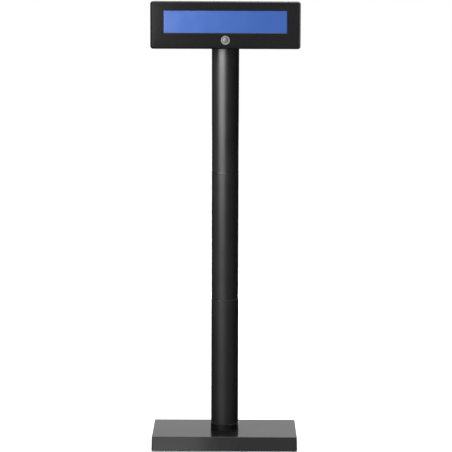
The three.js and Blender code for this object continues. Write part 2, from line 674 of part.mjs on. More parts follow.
function frontHousing() {
  const innerWidth = HEAD.width - 2 * HEAD.wall;
  const innerHeight = HEAD.height - 2 * HEAD.wall;
  const form = panel(HEAD.width, HEAD.height, HEAD.corner, 0, HEAD.depth + SPLIT, FRONT_EDGE);
  const shell = cut(
    form,
    brick(HEAD.width + OVERCUT, HEAD.height + OVERCUT, SPLIT, 2 * HEAD.depth),
    panel(innerWidth, innerHeight, HEAD.innerCorner, HEAD.wall, SPLIT + OVERCUT),
  );
  const posts = [];
  const holes = [];
  for (const [, x, z] of corners(HEAD_BOSS.x, HEAD_BOSS.z)) {
    posts.push(stud(HEAD_BOSS.radius, POST_ROOT, SPLIT, x, z));
    holes.push(stud(HEAD_BOSS.hole, POST_HOLE, SPLIT + OVERCUT, x, z));
  }
  const shoulder = BOARD.front - GAP;
  for (const x of [-POST.x, POST.x]) {
    posts.push(stud(POST.radius, POST_ROOT, shoulder, x, POST.low));
    holes.push(stud(POST.hole, POST_HOLE, shoulder + OVERCUT, x, POST.low));
    posts.push(stud(POST.radius, POST_ROOT, shoulder, x, POST.high));
    posts.push(stud(POST.peg, POST_ROOT, BOARD_BACK + OVERCUT, x, POST.high));
  }
  return cut(
    join(shell, ...posts),
    ...holes,
    brick(WINDOW.width, WINDOW.height, -OVERCUT, HEAD.wall + OVERCUT, 0, WINDOW.up),
    stud(BADGE.radius + GAP, -OVERCUT, BADGE.recess, 0, BADGE.up),
  );
}

// The blue filter: a raised pane that fills the opening, on a flange behind the front wall.
function displayWindow() {
  const flangeFront = HEAD.wall + GAP;
  const flangeBack = flangeFront + WINDOW.flangeThickness;
  const pane = brick(
    WINDOW.width - 2 * GAP, WINDOW.height - 2 * GAP,
    WINDOW_SETBACK, flangeBack - 2 * SEAT, 0, WINDOW.up,
  );
  const flange = brick(
    WINDOW.width + 2 * WINDOW.flange, WINDOW.height + 2 * WINDOW.flange,
    flangeFront, flangeBack, 0, WINDOW.up,
  );
  return join(pane, flange);
}

function windowGasket() {
  const { front, back, inset } = GASKET;
  const inner = [WINDOW.width - 2 * inset, WINDOW.height - 2 * inset];
  return cut(
    brick(WINDOW.width + 2 * inset, WINDOW.height + 2 * inset, front, back, 0, WINDOW.up),
    brick(...inner, front - OVERCUT, back + OVERCUT, 0, WINDOW.up),
  );
}

// The display tube's front glass: a tray, closed behind by the anode plate.
function vfdFrontGlass() {
  const inner = [VFD.width - 4 * VFD.glass, VFD.height - 4 * VFD.glass];
  return cut(
    brick(VFD.width, VFD.height, VFD.front, VFD.back, 0, WINDOW.up),
    brick(...inner, VFD.front + VFD.glass, VFD.back + OVERCUT, 0, WINDOW.up),
  );
}

function vfdAnodePlate() {
  const front = VFD.back + 2 * SEAT;
  return brick(VFD.width, VFD.height, front, front + VFD.plate, 0, WINDOW.up);
}

// The metal grid in front of the anodes, one opening for each character column.
function vfdGrid() {
  const back = GRID.front + GRID.thickness;
  const pitch = (GRID.width - GRID.bar) / GRID.cells;
  const openings = Array.from({ length: GRID.cells }, (_, index) => brick(
    pitch - GRID.bar, GRID.height - 2 * GRID.bar, GRID.front - OVERCUT, back + OVERCUT,
    pitch * (index + 0.5 - GRID.cells / 2), WINDOW.up,
  ));
  return cut(brick(GRID.width, GRID.height, GRID.front, back, 0, WINDOW.up), ...openings);
}

function driverBoard() {
  const half = BOARD.width / 2;
  const holes = [-POST.x, POST.x].flatMap((x) => [
    stud(POST.peg + GAP, BOARD.front - OVERCUT, BOARD_BACK + OVERCUT, x, POST.low),
    stud(POST.peg + GAP, BOARD.front - OVERCUT, BOARD_BACK + OVERCUT, x, POST.high),
  ]);
  return cut(
    block([-half, BOARD.front, BOARD.bottom], [half, BOARD_BACK, BOARD.top]),
    ...holes,
  );
}

// A coil on the display tube's power supply: a drum core with a wound waist.
function powerCoil() {
  const { radius, waist, cheek, height } = COIL;
  const drum = turned([
    [0, 0], [radius, 0], [radius, cheek], [waist, cheek], [waist, height - cheek],
    [radius, height - cheek], [radius, height], [0, height],
  ], SMALL_ROUND);
  return runningBack(drum, CHIP_FRONT).translate(COIL.x, 0, COIL.z);
}

// A chip or a connector on the board's back.
function mounted({ width, height, thickness, x = 0, z = 0 }) {
  return brick(width, height, CHIP_FRONT, CHIP_FRONT + thickness, x, z);
}

function rearShell() {
  const innerWidth = HEAD.width - 2 * HEAD.wall;
  const innerHeight = HEAD.height - 2 * HEAD.wall;
  const front = SPLIT + GAP;
  const floor = HEAD.depth - HEAD.wall;
  const form = panel(HEAD.width, HEAD.height, HEAD.corner, -HEAD.depth, HEAD.depth, REAR_EDGE);
  const shell = cut(
    form,
    brick(HEAD.width + OVERCUT, HEAD.height + OVERCUT, -2 * HEAD.depth, front),
    panel(innerWidth, innerHeight, HEAD.innerCorner, front - OVERCUT, floor),
  );
  const root = floor + OVERCUT / 2;
  const bosses = [];
  const tools = [brick(LEAD_HOLE, LEAD_HOLE, front, HEAD.depth + OVERCUT)];
  for (const [, x, z] of corners(HEAD_BOSS.x, HEAD_BOSS.z)) {
    bosses.push(stud(HEAD_BOSS.radius, front, root, x, z));
    tools.push(stud(HEAD_BOSS.hole + SEAT, front - OVERCUT, HEAD.depth + OVERCUT, x, z));
    tools.push(stud(REAR_RECESS.radius, RECESS_FLOOR, HEAD.depth + OVERCUT, x, z));
  }
  for (const x of [-BRACKET.screwX, BRACKET.screwX]) {
    bosses.push(stud(HEAD_BOSS.radius, floor - BRACKET_BOSS.length, root, x, 0));
    tools.push(stud(HEAD_BOSS.hole, floor - BRACKET_BOSS.hole, HEAD.depth + OVERCUT, x, 0));
  }
  for (const side of [-1, 1]) {
    for (let index = 0; index < VENT.count; index += 1) {
      const x = side * (VENT.first + VENT.pitch * index);
      tools.push(brick(VENT.width, VENT.height, floor - OVERCUT, HEAD.depth + OVERCUT, x, VENT.up));
    }
  }
  return cut(join(shell, ...bosses), ...tools);
}

// One lug's outline about the hinge axis: an arm from the plate, a round end and a stop tooth.
function lugOutline() {
  const root = HEAD_FRONT + BRACKET_FRONT + BRACKET.thickness / 2;
  const outline = new THREE.Shape();
  outline.moveTo(root, LUG.rootHalfHeight);
  outline.lineTo(root, -LUG.rootHalfHeight);
  outline.lineTo(0, -LUG.radius);
  outline.absarc(0, 0, LUG.radius, -Math.PI / 2, -Math.asin(LUG_TOOTH.halfWidth / LUG.radius));
  outline.lineTo(LUG_TOOTH.reach, -LUG_TOOTH.halfWidth);
  outline.lineTo(LUG_TOOTH.reach, LUG_TOOTH.halfWidth);
  outline.absarc(0, 0, LUG.radius, Math.asin(LUG_TOOTH.halfWidth / LUG.radius), Math.PI / 2);
  return outline;
}

// The steel bracket on the head's back: a plate with two lugs that turn on the hinge bolts.
function tiltBracket() {
  const plate = panel(BRACKET.width, BRACKET.height, BRACKET.corner, BRACKET_FRONT, BRACKET_BACK);
  const lugs = [-LUG.outer, LUG.inner].map((inner) => (
    sidePlate(lugOutline(), inner, inner + LUG.outer - LUG.inner).translate(0, -HEAD_FRONT, 0)
  ));
  const tools = [-BRACKET.screwX, BRACKET.screwX].map((x) => (
    stud(HEAD_BOSS.hole, BRACKET_FRONT - OVERCUT, BRACKET_BACK + OVERCUT, x)
  ));
  tools.push(brick(LEAD_HOLE, LEAD_HOLE, BRACKET_FRONT - OVERCUT, BRACKET_BACK + OVERCUT));
  const boltHole = rod(BOLT.radius + RUN, -LUG.outer - OVERCUT, LUG.outer + OVERCUT, SMALL_ROUND);
  tools.push(boltHole.rotateY(Math.PI / 2).translate(0, -HEAD_FRONT, 0));
  return cut(join(plate, ...lugs), ...tools);
}

// A plain round badge: a shallow dish inside a raised rim.
function badge() {
  const { radius, recess, proud, rim, edge } = BADGE;
  const back = GAP - recess;
  const disc = turned([
    [0, back], [radius, back], [radius, proud - edge], [radius - edge, proud],
    [radius - rim, proud], [radius - rim - edge, proud - edge], [0, proud - edge],
  ]);
  return disc.rotateX(Math.PI / 2).translate(0, 0, BADGE.up);
}

function headLead() {
  const back = -HEAD_FRONT - LEAD_BREAK;
  return runningBack(rod(LEAD_RADIUS, CHIP_FRONT + HEADER.thickness + GAP, back, LEAD_SIDES));
}

function addHeadElectronics(head) {
  head.add(part('vfd_front_glass', vfdFrontGlass(), GLASS));
  head.add(part('vfd_grid', vfdGrid(), PLATED_STEEL));
  head.add(part('vfd_anode_plate', vfdAnodePlate(), GLASS));
  head.add(part('driver_board', driverBoard(), CIRCUIT_BOARD));
  head.add(part('controller_chip', mounted(CONTROLLER), CHIP));
  head.add(part('driver_chip', mounted(DRIVER), CHIP));
  head.add(part('power_coil', powerCoil(), DARK_STEEL));
  head.add(part('lead_header', mounted(HEADER), ACETAL));
  head.add(part('head_lead', headLead(), RUBBER));
  for (const [word, x] of [['left', -POST.x], ['right', POST.x]]) {
    const fastener = runningForward(screw(SCREWS.board), CHIP_FRONT, x, POST.low);
    head.add(part(`board_screw_${word}`, fastener, PLATED_STEEL));
  }
}

// A screw driven in from behind: its head behind y = seat, its shank towards the front.
function runningForward(geometry, seat, x, z) {
  return geometry.rotateX(Math.PI / 2).translate(x, seat, z);
}

function buildHead() {
  const head = new THREE.Group();
  head.position.set(0, HEAD_FRONT, POLE_TOP + HINGE_HEIGHT);
  head.add(part('head_front_housing', frontHousing(), BLACK_PLASTIC));
  head.add(part('display_window', displayWindow(), BLUE_FILTER));
  head.add(part('window_gasket', windowGasket(), RUBBER));
  head.add(part('round_badge', badge(), SILVER));
  head.add(part('head_rear_shell', rearShell(), BLACK_PLASTIC));
  head.add(part('tilt_bracket', tiltBracket(), DARK_STEEL));
  addHeadElectronics(head);
  for (const [number, x, z] of corners(HEAD_BOSS.x, HEAD_BOSS.z)) {
    const fastener = runningForward(screw(SCREWS.rear), RECESS_FLOOR + SEAT, x, z);
    head.add(part(`rear_screw_${number}`, fastener, DARK_STEEL));
  }
  for (const [word, x] of [['left', -BRACKET.screwX], ['right', BRACKET.screwX]]) {
    const fastener = runningForward(screw(SCREWS.bracket), BRACKET_BACK + SEAT, x, 0);
    head.add(part(`bracket_screw_${word}`, fastener, DARK_STEEL));
  }
  return head;
}

// ---- The whole display -----------------------------------------------------------------------

const poleDisplay = new THREE.Group();
poleDisplay.add(buildBase(), buildPole(), buildNeck(), buildHead());

export default poleDisplay;
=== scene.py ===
"""The looks of a customer pole display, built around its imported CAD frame. Blender 4.5, metres.

The display faces -Y and stands on z = 0. Visible pieces are modelled again here at full smoothness,
in the places that the CAD nodes give; the sealed inner pieces keep their CAD meshes.
"""

import json
import math

import bmesh
import bpy
from mathutils import Euler, Matrix, Vector


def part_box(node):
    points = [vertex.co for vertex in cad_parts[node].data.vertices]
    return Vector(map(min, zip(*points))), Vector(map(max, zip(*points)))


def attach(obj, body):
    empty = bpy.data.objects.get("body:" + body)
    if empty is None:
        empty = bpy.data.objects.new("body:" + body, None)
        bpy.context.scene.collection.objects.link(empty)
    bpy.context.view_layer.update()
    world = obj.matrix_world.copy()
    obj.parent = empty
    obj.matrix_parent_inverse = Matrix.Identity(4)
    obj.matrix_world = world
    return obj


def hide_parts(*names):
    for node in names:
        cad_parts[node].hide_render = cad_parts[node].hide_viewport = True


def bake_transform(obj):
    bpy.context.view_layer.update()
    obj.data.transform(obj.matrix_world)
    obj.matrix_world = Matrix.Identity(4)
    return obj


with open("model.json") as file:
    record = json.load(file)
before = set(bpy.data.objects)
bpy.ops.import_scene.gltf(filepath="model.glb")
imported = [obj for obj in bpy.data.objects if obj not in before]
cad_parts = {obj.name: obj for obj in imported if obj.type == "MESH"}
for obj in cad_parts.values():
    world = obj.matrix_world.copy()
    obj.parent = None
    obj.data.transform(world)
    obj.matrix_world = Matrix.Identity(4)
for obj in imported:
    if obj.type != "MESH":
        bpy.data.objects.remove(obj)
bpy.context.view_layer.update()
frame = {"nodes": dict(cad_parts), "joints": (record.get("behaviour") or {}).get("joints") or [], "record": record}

MM = 0.001
ROUND = 96  # sides of a large round piece
SMALL_ROUND = 40  # sides of a small round piece
ARC = 8  # steps round a corner
EDGE_STEPS = ARC // 2  # steps round a rim
LEAST_CORNER = 0.2 * MM
WELD = 0.003 * MM  # points closer than this are one point
SHARP_ANGLE = 32  # degrees between faces, above which an edge is drawn sharp


# ---- Mesh building ----

def new_object(name, data):
    """A new object in the scene."""
    obj = bpy.data.objects.new(name, data)
    bpy.context.scene.collection.objects.link(obj)
    return obj


def mesh_object(name, bm):
    """A new object from a bmesh, with its faces pointing out."""
    bmesh.ops.recalc_face_normals(bm, faces=bm.faces)
    mesh = bpy.data.meshes.new(name)
    bm.to_mesh(mesh)
    bm.free()
    return new_object(name, mesh)


def loft(name, rings):
    """A solid through rings of equally many points, with its ends capped."""
    bm = bmesh.new()
    layers = [[bm.verts.new(point) for point in ring] for ring in rings]
    count = len(layers[0])
    for lower, upper in zip(layers, layers[1:]):
        for i in range(count):
            j = (i + 1) % count
            bm.faces.new((lower[i], lower[j], upper[j], upper[i]))
    bm.faces.new(layers[0])
    bm.faces.new(layers[-1])
    return mesh_object(name, bm)


def turned(name, profile, sides=ROUND):
    """A solid turned about Z from (radius, height) points; radius 0 at both ends closes it there."""
    bm = bmesh.new()
    on_axis = profile[0][0] == 0
    rings = []
    for radius, height in profile:
        if radius == 0:
            rings.append([bm.verts.new((0, 0, height))] * sides)
            continue
        angles = (2 * math.pi * i / sides for i in range(sides))
        rings.append([
            bm.verts.new((radius * math.cos(a), radius * math.sin(a), height)) for a in angles
        ])
    follow = rings[1:] if on_axis else rings[1:] + rings[:1]
    for lower, upper in zip(rings, follow):
        for i in range(sides):
            j = (i + 1) % sides
            corners = dict.fromkeys((lower[i], lower[j], upper[j], upper[i]))
            bm.faces.new(tuple(corners))
    return mesh_object(name, bm)


def arc(centre, radius, start, end, steps=ARC):
    """Points on an arc in a plane, angles in degrees."""
    points = []
    for i in range(steps + 1):
        a = math.radians(start + (end - start) * i / steps)
        points.append((centre[0] + radius * math.cos(a), centre[1] + radius * math.sin(a)))
    return points


def rounded_outline(width, height, corner):
    """Points round a rectangle with round corners, centred on the origin."""
    x, y = width / 2 - corner, height / 2 - corner
    points = []
    for cx, cy, start in ((x, y, 0), (-x, y, 90), (-x, -y, 180), (x, -y, 270)):
        points += arc((cx, cy), corner, start, start + 90)
    return points


def four_corners(x, y):
    return [(-x, -y), (x, -y), (x, y), (-x, y)]


def edge_levels(low, high, low_edge, high_edge):
    """(inset, height) pairs from low to high, with each end rounded by its own radius."""
    turns = [math.pi / 2 * i / EDGE_STEPS for i in range(EDGE_STEPS + 1)]
    below = [(low_edge * (1 - math.sin(a)), low + low_edge * (1 - math.cos(a))) for a in turns]
    above = [(high_edge * (1 - math.cos(a)), high - high_edge * (1 - math.sin(a))) for a in turns]
    return (below if low_edge else [(0, low)]) + (above if high_edge else [(0, high)])


def slab(name, size, heights, corner, edges=(0, 0), lean=0):
    """A rectangular slab with round corners and rounded rims; its sides lean out by lean below."""
    (width, depth), (low, high) = size, heights
    rings = []
    for inset, z in edge_levels(low, high, *edges):
        grow = lean * (high - z) / (high - low) - inset
        radius = max(corner - inset, LEAST_CORNER)
        outline = rounded_outline(width + 2 * grow, depth + 2 * grow, radius)
        rings.append([(x, y, z) for x, y in outline])
    return loft(name, rings)


def box_cutter(low, high):
    middle = (Vector(low) + Vector(high)) / 2
    size = Vector(high) - Vector(low)
    bm = bmesh.new()
    bmesh.ops.create_cube(bm, size=1, matrix=Matrix.Translation(middle) @ Matrix.Diagonal((*size, 1)))
    return mesh_object("cutter", bm)


def rod_cutter(radius, low, high, sides=SMALL_ROUND):
    return turned("cutter", [(0, low), (radius, low), (radius, high), (0, high)], sides)


def tube(name, route, radius, sides):
    """A round tube along points that all lie in one plane of constant x."""
    rings = []
    across = Vector((1, 0, 0))
    points = [Vector(point) for point in route]
    for i, point in enumerate(points):
        ahead = points[min(i + 1, len(points) - 1)]
        behind = points[max(i - 1, 0)]
        upward = across.cross((ahead - behind).normalized())
        angles = [2 * math.pi * k / sides for k in range(sides)]
        rings.append([point + radius * (math.cos(a) * across + math.sin(a) * upward) for a in angles])
    return loft(name, rings)


def moved(obj, rotation=(0, 0, 0), place=(0, 0, 0)):
    """Turns an object's mesh by degrees about X, Y and Z, then shifts it."""
    turn = Euler([math.radians(a) for a in rotation]).to_matrix().to_4x4()
    obj.data.transform(Matrix.Translation(place) @ turn)
    return obj


def gathered(objects):
    """Several separate objects as one, so that one cut or join does for them all."""
    bm = bmesh.new()
    for obj in objects:
        bm.from_mesh(obj.data)
        bpy.data.objects.remove(obj)
    return mesh_object("gathered", bm)


def apply_modifiers(obj):
    bpy.context.view_layer.update()
    graph = bpy.context.evaluated_depsgraph_get()
    mesh = bpy.data.meshes.new_from_object(obj.evaluated_get(graph))
    obj.modifiers.clear()
    obj.data = mesh


def combine(obj, others, operation="DIFFERENCE"):
    """Cuts the other objects out of this one, or joins them to it, and removes them."""
    other = gathered(others) if len(others) > 1 else others[0]
    modifier = obj.modifiers.new("combine", "BOOLEAN")
    modifier.operation = operation
    modifier.object = other
    modifier.solver = "EXACT"
    apply_modifiers(obj)
    bpy.data.objects.remove(other)


def soften(obj, width, angle=38):
    """Rounds the sharp edges by a small radius, so that they catch the light."""
    modifier = obj.modifiers.new("soften", "BEVEL")
    modifier.width = width
    modifier.segments = 2
    modifier.limit_method = "ANGLE"
    modifier.angle_limit = math.radians(angle)
    apply_modifiers(obj)


def weld(obj):
    """Joins the points that cuts and bevels leave on top of each other, and closes their slits."""
    bm = bmesh.new()
    bm.from_mesh(obj.data)
    bmesh.ops.remove_doubles(bm, verts=bm.verts, dist=WELD)
    bmesh.ops.dissolve_degenerate(bm, edges=bm.edges, dist=WELD)
    bmesh.ops.triangulate(bm, faces=[face for face in bm.faces if len(face.verts) > 4])
    bmesh.ops.holes_fill(bm, edges=[edge for edge in bm.edges if edge.is_boundary], sides=8)
    bm.to_mesh(obj.data)
    bm.free()


def finish_piece(obj, name, material, body, nodes=()):
    """Names a piece, gives it its material, shades it, hangs it on the body that it rides on and hides the CAD
    nodes that it stands for.
    """
    weld(obj)
    obj.name = name
    obj.data.name = name
    obj.data.materials.clear()
    obj.data.materials.append(MATERIALS[material])
    obj.data.shade_smooth()
    obj.data.set_sharp_from_angle(angle=math.radians(SHARP_ANGLE))
    if body:
        weights = obj.modifiers.new("weights", "WEIGHTED_NORMAL")
        weights.keep_sharp = True
        weights.weight = 100
        apply_modifiers(obj)
        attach(obj, body)
    if nodes:
        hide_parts(*nodes)


# ---- Materials ----

NOISE_SPAN = (0.3, 0.7)  # the values that most of a noise pattern lies between


class Surface:
    """A material in the making, with a coordinate fixed to the piece, in metres."""

    def __init__(self, name, colour, roughness, metallic=0.0):
        self.material = bpy.data.materials.new(name)
        self.material.use_nodes = True
        tree = self.material.node_tree
        self.add = tree.nodes.new
        self.link = tree.links.new
        self.shader = tree.nodes["Principled BSDF"]
        self.shader.inputs["Base Color"].default_value = (*colour, 1)
        self.shader.inputs["Roughness"].default_value = roughness
        self.shader.inputs["Metallic"].default_value = metallic
        self.place = self.add("ShaderNodeTexCoord").outputs["Object"]

    def noise(self, scale, detail, stretch=(1, 1, 1)):
        mapping = self.add("ShaderNodeMapping")
        mapping.inputs["Scale"].default_value = stretch
        self.link(self.place, mapping.inputs["Vector"])
        texture = self.add("ShaderNodeTexNoise")
        texture.inputs["Scale"].default_value = scale
        texture.inputs["Detail"].default_value = detail
        self.link(mapping.outputs["Vector"], texture.inputs["Vector"])
        return texture.outputs["Fac"]

    def spread(self, pattern, low, high):
        """A noise pattern spread over a new range."""
        node = self.add("ShaderNodeMapRange")
        ends = (*NOISE_SPAN, low, high)
        for socket, end in zip(("From Min", "From Max", "To Min", "To Max"), ends):
            node.inputs[socket].default_value = end
        self.link(pattern, node.inputs["Value"])
        return node.outputs["Result"]

    def tint(self, pattern, first, second):
        """Lets the colour wander between two."""
        node = self.add("ShaderNodeMix")
        node.data_type = "RGBA"
        self.link(self.spread(pattern, 0, 1), node.inputs["Factor"])
        node.inputs["A"].default_value = (*first, 1)
        node.inputs["B"].default_value = (*second, 1)
        self.link(node.outputs["Result"], self.shader.inputs["Base Color"])

    def roughen(self, pattern, low, high):
        self.link(self.spread(pattern, low, high), self.shader.inputs["Roughness"])

    def bump(self, height, strength, depth):
        node = self.add("ShaderNodeBump")
        node.inputs["Strength"].default_value = strength
        node.inputs["Distance"].default_value = depth
        self.link(height, node.inputs["Height"])
        self.link(node.outputs["Normal"], self.shader.inputs["Normal"])


def shade(colour, factor):
    return tuple(factor * part for part in colour)


def moulded_plastic(name, colour, roughness, grain=0.35, spread=0.05):
    """Moulded plastic with a fine spark-eroded grain, slow tone changes and faint handling marks."""
    surface = Surface(name, colour, roughness)
    surface.tint(surface.noise(scale=14, detail=3), shade(colour, 0.8), shade(colour, 1.25))
    marks = surface.noise(scale=45, detail=5, stretch=(1, 1, 2.2))
    surface.roughen(marks, roughness - spread, roughness + spread)
    surface.bump(surface.noise(scale=1400, detail=2), grain, depth=0.06 * MM)
    return surface.material


def satin_paint(name, colour, roughness):
    """Satin paint with a slight orange peel."""
    surface = Surface(name, colour, roughness)
    surface.tint(surface.noise(scale=9, detail=2), shade(colour, 0.85), shade(colour, 1.2))
    surface.roughen(surface.noise(scale=30, detail=4), roughness - 0.03, roughness + 0.04)
    surface.bump(surface.noise(scale=420, detail=3), strength=0.25, depth=0.03 * MM)
    return surface.material


def blue_acrylic(name):
    """The display's blue filter: tinted acrylic over a pale diffusing layer."""
    surface = Surface(name, (0.025, 0.066, 0.228), 0.22)
    surface.tint(surface.noise(scale=10, detail=2), (0.024, 0.064, 0.222), (0.026, 0.068, 0.234))
    surface.roughen(surface.noise(scale=60, detail=4), 0.2, 0.26)
    surface.bump(surface.noise(scale=900, detail=2), strength=0.06, depth=0.02 * MM)
    return surface.material


def worked_metal(name, colour, roughness, scale=260):
    """Metal with an even working texture and slight tarnish."""
    surface = Surface(name, colour, roughness, metallic=1.0)
    surface.tint(surface.noise(scale=70, detail=4), shade(colour, 0.72), colour)
    lines = surface.noise(scale, detail=4)
    surface.roughen(lines, roughness - 0.06, roughness + 0.1)
    surface.bump(lines, strength=0.3, depth=0.02 * MM)
    return surface.material


def painted_casting(name, colour, roughness):
    """Powder-coated die casting or steel: a soft pebbled surface."""
    surface = Surface(name, colour, roughness)
    surface.tint(surface.noise(scale=40, detail=3), colour, shade(colour, 1.35))
    pebbles = surface.noise(scale=750, detail=3)
    surface.roughen(pebbles, roughness - 0.05, roughness + 0.08)
    surface.bump(pebbles, strength=0.5, depth=0.05 * MM)
    return surface.material


def plain_sweep(name, colour, lighter, roughness):
    """The studio's white sweep, with the slightest change of tone."""
    surface = Surface(name, colour, roughness)
    surface.tint(surface.noise(scale=1.5, detail=2), colour, lighter)
    return surface.material


MATERIALS = {
    "housing": moulded_plastic("housing_plastic", (0.005, 0.0051, 0.0054), 0.25, 0.12, spread=0.02),
    "base": moulded_plastic("base_plastic", (0.009, 0.0092, 0.0097), 0.18, 0.12, spread=0.02),
    "pole": satin_paint("pole_finish", (0.0045, 0.0046, 0.0049), 0.37),
    "window": blue_acrylic("blue_filter_acrylic"),
    # A lighter blue for the window's bevel and sides: a painted highlight along the filter's edge, in place of the
    # light that the edge catches
    "window_rim_painted_highlight": moulded_plastic("blue_filter_rim_painted_highlight", (0.032, 0.085, 0.31), 0.3, grain=0.02),
    "silver": worked_metal("badge_silver", (0.62, 0.63, 0.64), 0.42, scale=500),
    "badge_face": worked_metal("badge_face", (0.34, 0.345, 0.35), 0.45, scale=700),
    "plated": worked_metal("zinc_plating", (0.56, 0.57, 0.58), 0.32),
    "casting": painted_casting("black_casting", (0.0160, 0.0162, 0.0170), 0.42),
    "bolt": worked_metal("black_oxide_steel", (0.060, 0.060, 0.064), 0.38, scale=420),
    "gold": worked_metal("gold_contact", (0.80, 0.58, 0.24), 0.25, scale=900),
    "lead": moulded_plastic("lead_jacket", (0.0130, 0.0130, 0.0135), 0.5, grain=0.12),
    "rubber": moulded_plastic("black_rubber", (0.0140, 0.0140, 0.0140), 0.78, grain=0.6),
    "acetal": moulded_plastic("grey_acetal", (0.045, 0.046, 0.048), 0.38, grain=0.15),
    "glass": moulded_plastic("tube_glass", (0.30, 0.36, 0.36), 0.12, 0.02, spread=0.02),
    "board": moulded_plastic("board_laminate", (0.012, 0.085, 0.040), 0.4, grain=0.2),
    "chip": moulded_plastic("chip_resin", (0.018, 0.018, 0.020), 0.55),
}


# ---- Camera, light and floor ----

CAMERA_PLACE = (0.0128, -2.9348, 0.6877)
CAMERA_DOWN = 7.192  # degrees below the horizon
CAMERA_LEFT = 0.224  # degrees to the left of straight ahead
CAMERA_ROLL = 0.16  # degrees
LENS = 164.56  # millimetres
SENSOR = 36  # millimetres


def make_camera():
    camera = new_object("camera", bpy.data.cameras.new("camera"))
    camera.data.lens = LENS
    camera.data.sensor_width = SENSOR
    camera.location = CAMERA_PLACE
    aim = Euler((math.radians(90 - CAMERA_DOWN), 0, math.radians(CAMERA_LEFT))).to_matrix()
    roll = Euler((0, 0, math.radians(CAMERA_ROLL))).to_matrix()
    camera.rotation_euler = (aim @ roll).to_euler()
    camera.data.clip_end = 50
    bpy.context.scene.camera = camera


def area_light(name, place, target, size, power):
    light = bpy.data.lights.new(name, "AREA")
    light.shape = "RECTANGLE"
    light.size, light.size_y = size
    light.energy = power
    obj = new_object(name, light)
    obj.location = place
    obj.rotation_euler = (Vector(target) - Vector(place)).to_track_quat("-Z", "Y").to_euler()
    return obj


def smooth_step(tree, value, low, high):
    """0 below low, 1 above high; low may be the larger of the two."""
    node = tree.nodes.new("ShaderNodeMapRange")
    node.interpolation_type = "SMOOTHSTEP"
    node.inputs["From Min"].default_value = low
    node.inputs["From Max"].default_value = high
    tree.links.new(value, node.inputs["Value"])
    return node.outputs["Result"]


def calculated(tree, operation, *values):
    node = tree.nodes.new("ShaderNodeMath")
    node.operation = operation
    for socket, value in zip(node.inputs, values):
        if isinstance(value, bpy.types.NodeSocket):
            tree.links.new(value, socket)
        else:
            socket.default_value = value
    return node.outputs["Value"]


# The pieces that some lights are kept to, as flags would in a studio.
POLE_ONLY = ("pole_lower_fine", "pole_middle_fine", "pole_upper_fine")
COLLAR_ONLY = ("foot_collar_fine",)
BASE_ONLY = ("base_shell_fine",)
HOUSING_ONLY = ("front_housing_fine",)
BADGE_ONLY = ("round_badge_fine",)
WINDOW_ONLY = ("display_window_fine",)

# The studio's dark surroundings, a bright sweep low behind the display and a paler area at its front.
SIDE_GLOW = 0.02
SWEEP_GLOW = 0.69
SWEEP_WIDTH = (0.80, 0.93)  # cosines of the angles from straight behind where it starts and is full
SWEEP_RISE = (0.0, 0.10)  # its lower edge, as sines of the height above the horizon
FRONT_GLOW = 0.3
FRONT_WIDTH = (-0.3, -0.8)
FRONT_DROP = (-0.08, -0.30)
SUN_POWER = 4
SUN_SPREAD = 70  # degrees
FLOOR_REACH = 6


def make_world():
    """Surroundings that are white to the camera and mostly dark in reflections, like black flags."""
    world = bpy.data.worlds.new("studio")
    world.use_nodes = True
    tree = world.node_tree
    background = tree.nodes["Background"]
    background.inputs["Color"].default_value = (1, 1, 1, 1)
    direction = tree.nodes.new("ShaderNodeSeparateXYZ")
    tree.links.new(tree.nodes.new("ShaderNodeTexCoord").outputs["Generated"], direction.inputs["Vector"])
    y, z = (direction.outputs[axis] for axis in "YZ")
    away, above = smooth_step(tree, y, *SWEEP_WIDTH), smooth_step(tree, z, *SWEEP_RISE)
    facing, below = smooth_step(tree, y, *FRONT_WIDTH), smooth_step(tree, z, *FRONT_DROP)
    behind = calculated(tree, "MULTIPLY", away, above)
    front = calculated(tree, "MULTIPLY", facing, below)
    glow = calculated(tree, "MULTIPLY_ADD", behind, SWEEP_GLOW, SIDE_GLOW)
    glow = calculated(tree, "MULTIPLY_ADD", front, FRONT_GLOW, glow)
    seen = tree.nodes.new("ShaderNodeLightPath").outputs["Is Camera Ray"]
    tree.links.new(calculated(tree, "MAXIMUM", glow, seen), background.inputs["Strength"])
    bpy.context.scene.world = world


